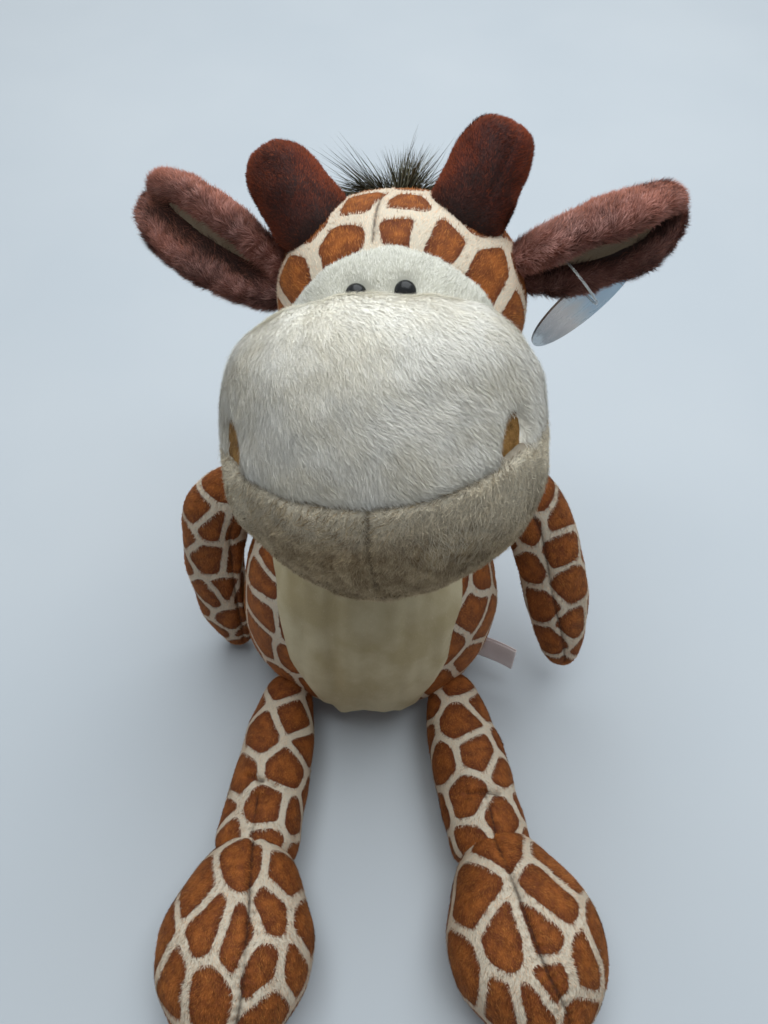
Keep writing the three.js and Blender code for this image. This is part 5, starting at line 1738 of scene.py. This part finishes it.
@dataclass
class Leg:
    """A leg with its foot: two stuffed forms joined at the ankle's seam."""

    side: Side
    length: float = 70.0
    width: float = 31.0
    height: float = 28.0
    hip: tuple[float, float, float] = (34.5, -32.0, 15.0)
    foot_length: float = 67.0
    foot_width: float = 56.5
    foot_height: float = 39.0
    sunk: float = 7.0
    girth_shares: tuple[float, ...] = (0.78, 0.86, 0.97, 1.0, 1.03)
    foot_widths: tuple[float, ...] = (0.55, 0.8, 1.0, 0.98, 0.8)
    foot_heights: tuple[float, ...] = (0.74, 0.9, 1.0, 0.98, 0.84)
    cover: Cover = Cover(PRINT, Pile(36000, 1.6, 0.32, lean=62, seed=115), 0.8)
    foot_cover: Cover = Cover(PRINT, Pile(60000, 1.8, 0.34, lean=64, seed=125), 0.8)

    def place(self) -> Array:
        """Where the leg's own frame stands, along -Y from the hip."""
        out = self.side.value
        return (shift(out * self.hip[0], self.hip[1], self.hip[2])
                @ turn(Axis.Z, self.side.pick(8.0, 11.5) * out))

    def build(self) -> None:
        """Makes the leg, the foot and their pile."""
        side, place, last = self.side, self.place(), 4
        spine = tuple((0.0, self.sunk - (self.length + self.sunk) * i / last, 0.0)
                      for i in range(last + 1))
        form = Form(spine, scaled(self.width, self.height, self.girth_shares), (1, 0, 0), (3, 9))
        dart, middle = side.pick((0.66, 96), (0.73, 87))
        above, below = dart - 0.02, dart + 0.02
        skin = form.skin(110, 110, (middle - 3, middle, middle + 3), (above, dart, below))
        skin.swell(0.6, 24, 111 + side.value)
        beside = np.sin((skin.angle - np.radians(middle)) / 2)
        skin.push(0.8 * bell(skin.share - dart - 0.05, 0.03) * bell(beside, 0.16))
        seam = [(dart, middle), (0.85, middle - 2), (0.995, 90)]
        skin.sew(seam_line(form, seam), 0.9, 1.2, 0.12)
        pleat = [(above, middle + 26), (dart, middle), (below, middle - 24)]
        skin.sew(seam_line(form, pleat), 1.3, 1.2, 0.1)
        local = skin.points.copy()
        skin.place(place).lift(0.3)
        prints = Patches(13.0, 2.7, bend=0.8, seed=113 + side.value)
        skin.mark("patch", prints.inside(local, spots_on(form, LEG_SPOTS[side])))
        hold = Hold("body", f"leg_{side.word}", tuple(carried(place, 0, 8, 0)),
                    tuple(carried(place, 0, -14, 0)))
        self.cover.clothe("leg", side, skin, hold, swung(place, (0, -1, 0)), skin.above(0.6))
        self.foot(place)

    def foot(self, leg_place: Array) -> None:
        """Makes the foot, its back drawn in round the ankle."""
        side, start, last = self.side, 8.4, 4
        place = (leg_place @ shift(0, -self.length, 0)
                 @ turn(Axis.Z, side.pick(-1.5, 5.0) * side.value))
        rise = self.foot_height / 2 - 15.5
        spine = tuple((0.0, start - (self.foot_length + start) * i / last, rise * share)
                      for i, share in enumerate(self.foot_heights))
        sizes = scaled(self.foot_width, self.foot_height, self.foot_widths, self.foot_heights)
        form = Form(spine, sizes, (1, 0, 0), (3, 2.4))
        skin = form.skin(130, 160, side.pick((70, 74, 77, 80, 84), (80, 85, 88, 90)))
        skin.swell(0.7, 34, 121 + side.value)
        skin.sew(seam_line(form, FOOT_SEAMS[side], 400), 1.2, 1.6, 0.2)
        local = skin.points.copy()
        skin.place(place).lift(0.0)
        prints = Patches(17.0, 2.9, stretch=(1, 0.7, 1), bend=0.8, seed=123 + side.value)
        skin.mark("patch", prints.inside(local, spots_on(form, FOOT_SPOTS[side])))
        hold = Hold(f"leg_{side.word}", f"foot_{side.word}", tuple(carried(place, 0, 6, 0)),
                    tuple(carried(place, 0, -14, 0)))
        comb = swung(place, columns(local[:, 0] * 0.02, -1.0, 0.0))
        self.foot_cover.clothe("foot", side, skin, hold, comb, skin.above(0.6))


@dataclass
class Neck:
    """The neck: a short stuffed column from the body's top into the head."""

    pivot: tuple[float, float, float] = (3.0, 14.0, 104.0)
    radius: float = 21.0
    collar: float = 18.5
    rise: float = 54.0
    cover: Cover = Cover(PRINT, Pile(16000, 1.8, 0.32, lean=60, seed=133), 0.9)

    def build(self) -> None:
        """Makes the neck and its pile."""
        spine = tuple((0.0, 0.0, height) for height in (-18.0, 6.0, 30.0, self.rise - 1))
        radii = (self.radius - 2, self.radius, self.radius - 1, self.collar)
        form = Form(spine, tuple((r, r) for r in radii), (1, 0, 0), (4, 7))
        skin = form.skin(60, 100)
        skin.swell(0.4, 24, 131).place(shift(*self.pivot))
        skin.mark("patch", Patches(13.0, 2.4, seed=132).inside(skin.points))
        x, y, z = self.pivot
        hold = Hold("body", "neck", (x, y, z - 6), (x, y, z + 12))
        down = np.array([0.0, 0.0, -1.0])
        self.cover.clothe("neck", None, skin, hold, down, skin.above(z - 4))


@dataclass
class Fittings:
    """The pieces that keep their CAD shape: washers, pellet bag, swing tag and its loop."""

    finishes: dict[str, Smooth] = field(default_factory=lambda: {
        "eye_washer_left": WASHER, "eye_washer_right": WASHER, "seat_pellet_bag": PELLETS,
        "swing_tag": CARD, "tag_loop": THREAD,
    })

    def build(self) -> None:
        """Gives each of them its finish."""
        for name, finish in self.finishes.items():
            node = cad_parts[name]
            if isinstance(finish, Banded):
                finish = self.aligned(finish, node)
            node.data.materials.clear()
            node.data.materials.append(finish.material())
            LOG.info("%s: finish %s", name, finish.name)

    @staticmethod
    def aligned(finish: Banded, node: bpy.types.Object) -> Banded:
        """The banded finish with its bands running down the card, steepest way first."""
        places = np.empty(len(node.data.vertices) * 3)
        node.data.vertices.foreach_get("co", places)
        places = places.reshape(-1, 3)
        flat = np.linalg.svd(places - places.mean(0), full_matrices=False)[2][2]
        downhill = Vector((0.0, -0.83, -0.56))
        down = np.array(node.matrix_world.to_3x3().inverted() @ downhill)
        along = unit(down - flat * (flat @ down))
        reach = places @ along
        return replace(finish, along=tuple(float(v) for v in along), first=float(reach.min()),
                       length=float(np.ptp(reach)))


@dataclass
class Studio:
    """A pale floor, soft light and the camera."""

    floor_colour: str = "b6bcc1"
    floor_dark: str = "b0b7bd"
    camera_place: Triple = (6.0, -185.0, 379.0)
    camera_tilt: float = 34.0
    lens: float = 31.64

    def build(self) -> None:
        """Sets the camera, the lamps, the world and the floor."""
        scene = bpy.context.scene
        scene.view_settings.view_transform = "Standard"
        camera = bpy.data.objects.new("camera", bpy.data.cameras.new("camera"))
        camera.location = [MM * v for v in self.camera_place]
        camera.rotation_euler = (math.radians(self.camera_tilt), 0, 0)
        camera.data.lens = self.lens
        camera.data.clip_start = 0.01
        scene.collection.objects.link(camera)
        scene.camera = camera
        self.lamp(scene, "window", (0.1, 0.36, 1.12), 1.3, 21.5, (0.92, 0.97, 1.0))
        self.lamp(scene, "front", (-0.5, -0.9, 0.9), 0.9, 0.7, (1.0, 0.96, 0.9))
        self.world(scene)
        self.floor()

    def lamp(
        self, scene: bpy.types.Scene, name: str, place: Triple, size: float, power: float,
        colour: Triple,
    ) -> None:
        """Adds a square lamp that points at the toy's middle, all in metres and watts."""
        data = bpy.data.lights.new(name, "AREA")
        data.size, data.energy, data.color = size, power, colour
        lamp = bpy.data.objects.new(name, data)
        lamp.location = place
        x, y, z = np.array([0, -0.03, 0.1]) - np.array(place)
        tilt, heading = math.atan2(math.hypot(x, y), -z), math.atan2(y, x) - math.pi / 2
        lamp.rotation_euler = (tilt, 0, heading)
        scene.collection.objects.link(lamp)

    def world(self, scene: bpy.types.Scene) -> None:
        """A soft even sky for light, and white for the camera and reflections."""
        dim, bright = 0.16, 1.0
        world = bpy.data.worlds.new("sky")
        world.use_nodes = True
        scene.world = world
        graph = Graph(world.node_tree)
        path = graph.add("ShaderNodeLightPath").outputs
        mirrored_rays = graph.math("MAXIMUM", path["Is Glossy Ray"], path["Is Transmission Ray"])
        seen = graph.math("MAXIMUM", path["Is Camera Ray"], mirrored_rays)
        graph.feed(world.node_tree.nodes["Background"].inputs, {
            "Color": graph.mix(seen, (0.86, 0.93, 1.0, 1.0), (1.0, 1.0, 1.0, 1.0)),
            "Strength": graph.math("MULTIPLY_ADD", seen, bright - dim, dim),
        })

    def floor(self) -> None:
        """A large plain floor."""
        half, level = 2500.0, -0.2
        corners = ((-1, -1), (1, -1), (1, 1), (-1, 1))
        points = np.array([[half * x, half * y, level] for x, y in corners])
        finish = Smooth("floor", self.floor_colour, self.floor_dark, 0.6, scale=6, bump=0.02)
        faces = (np.array([[0, 1, 2, 3]]),)
        make_piece("floor", points, faces, {}, finish.material())


def main() -> None:
    """Builds the toy piece by piece in its scene."""
    logging.basicConfig(level=logging.INFO, format="%(message)s")
    Studio().build()
    trunk = Trunk()
    head = Head()
    trunk.build()
    head.build()
    for side in Side:
        Ear(side, head).build()
        Arm(side, trunk).build()
        Leg(side).build()
    Neck().build()
    Fittings().build()


if __name__ == "__main__":
    main()
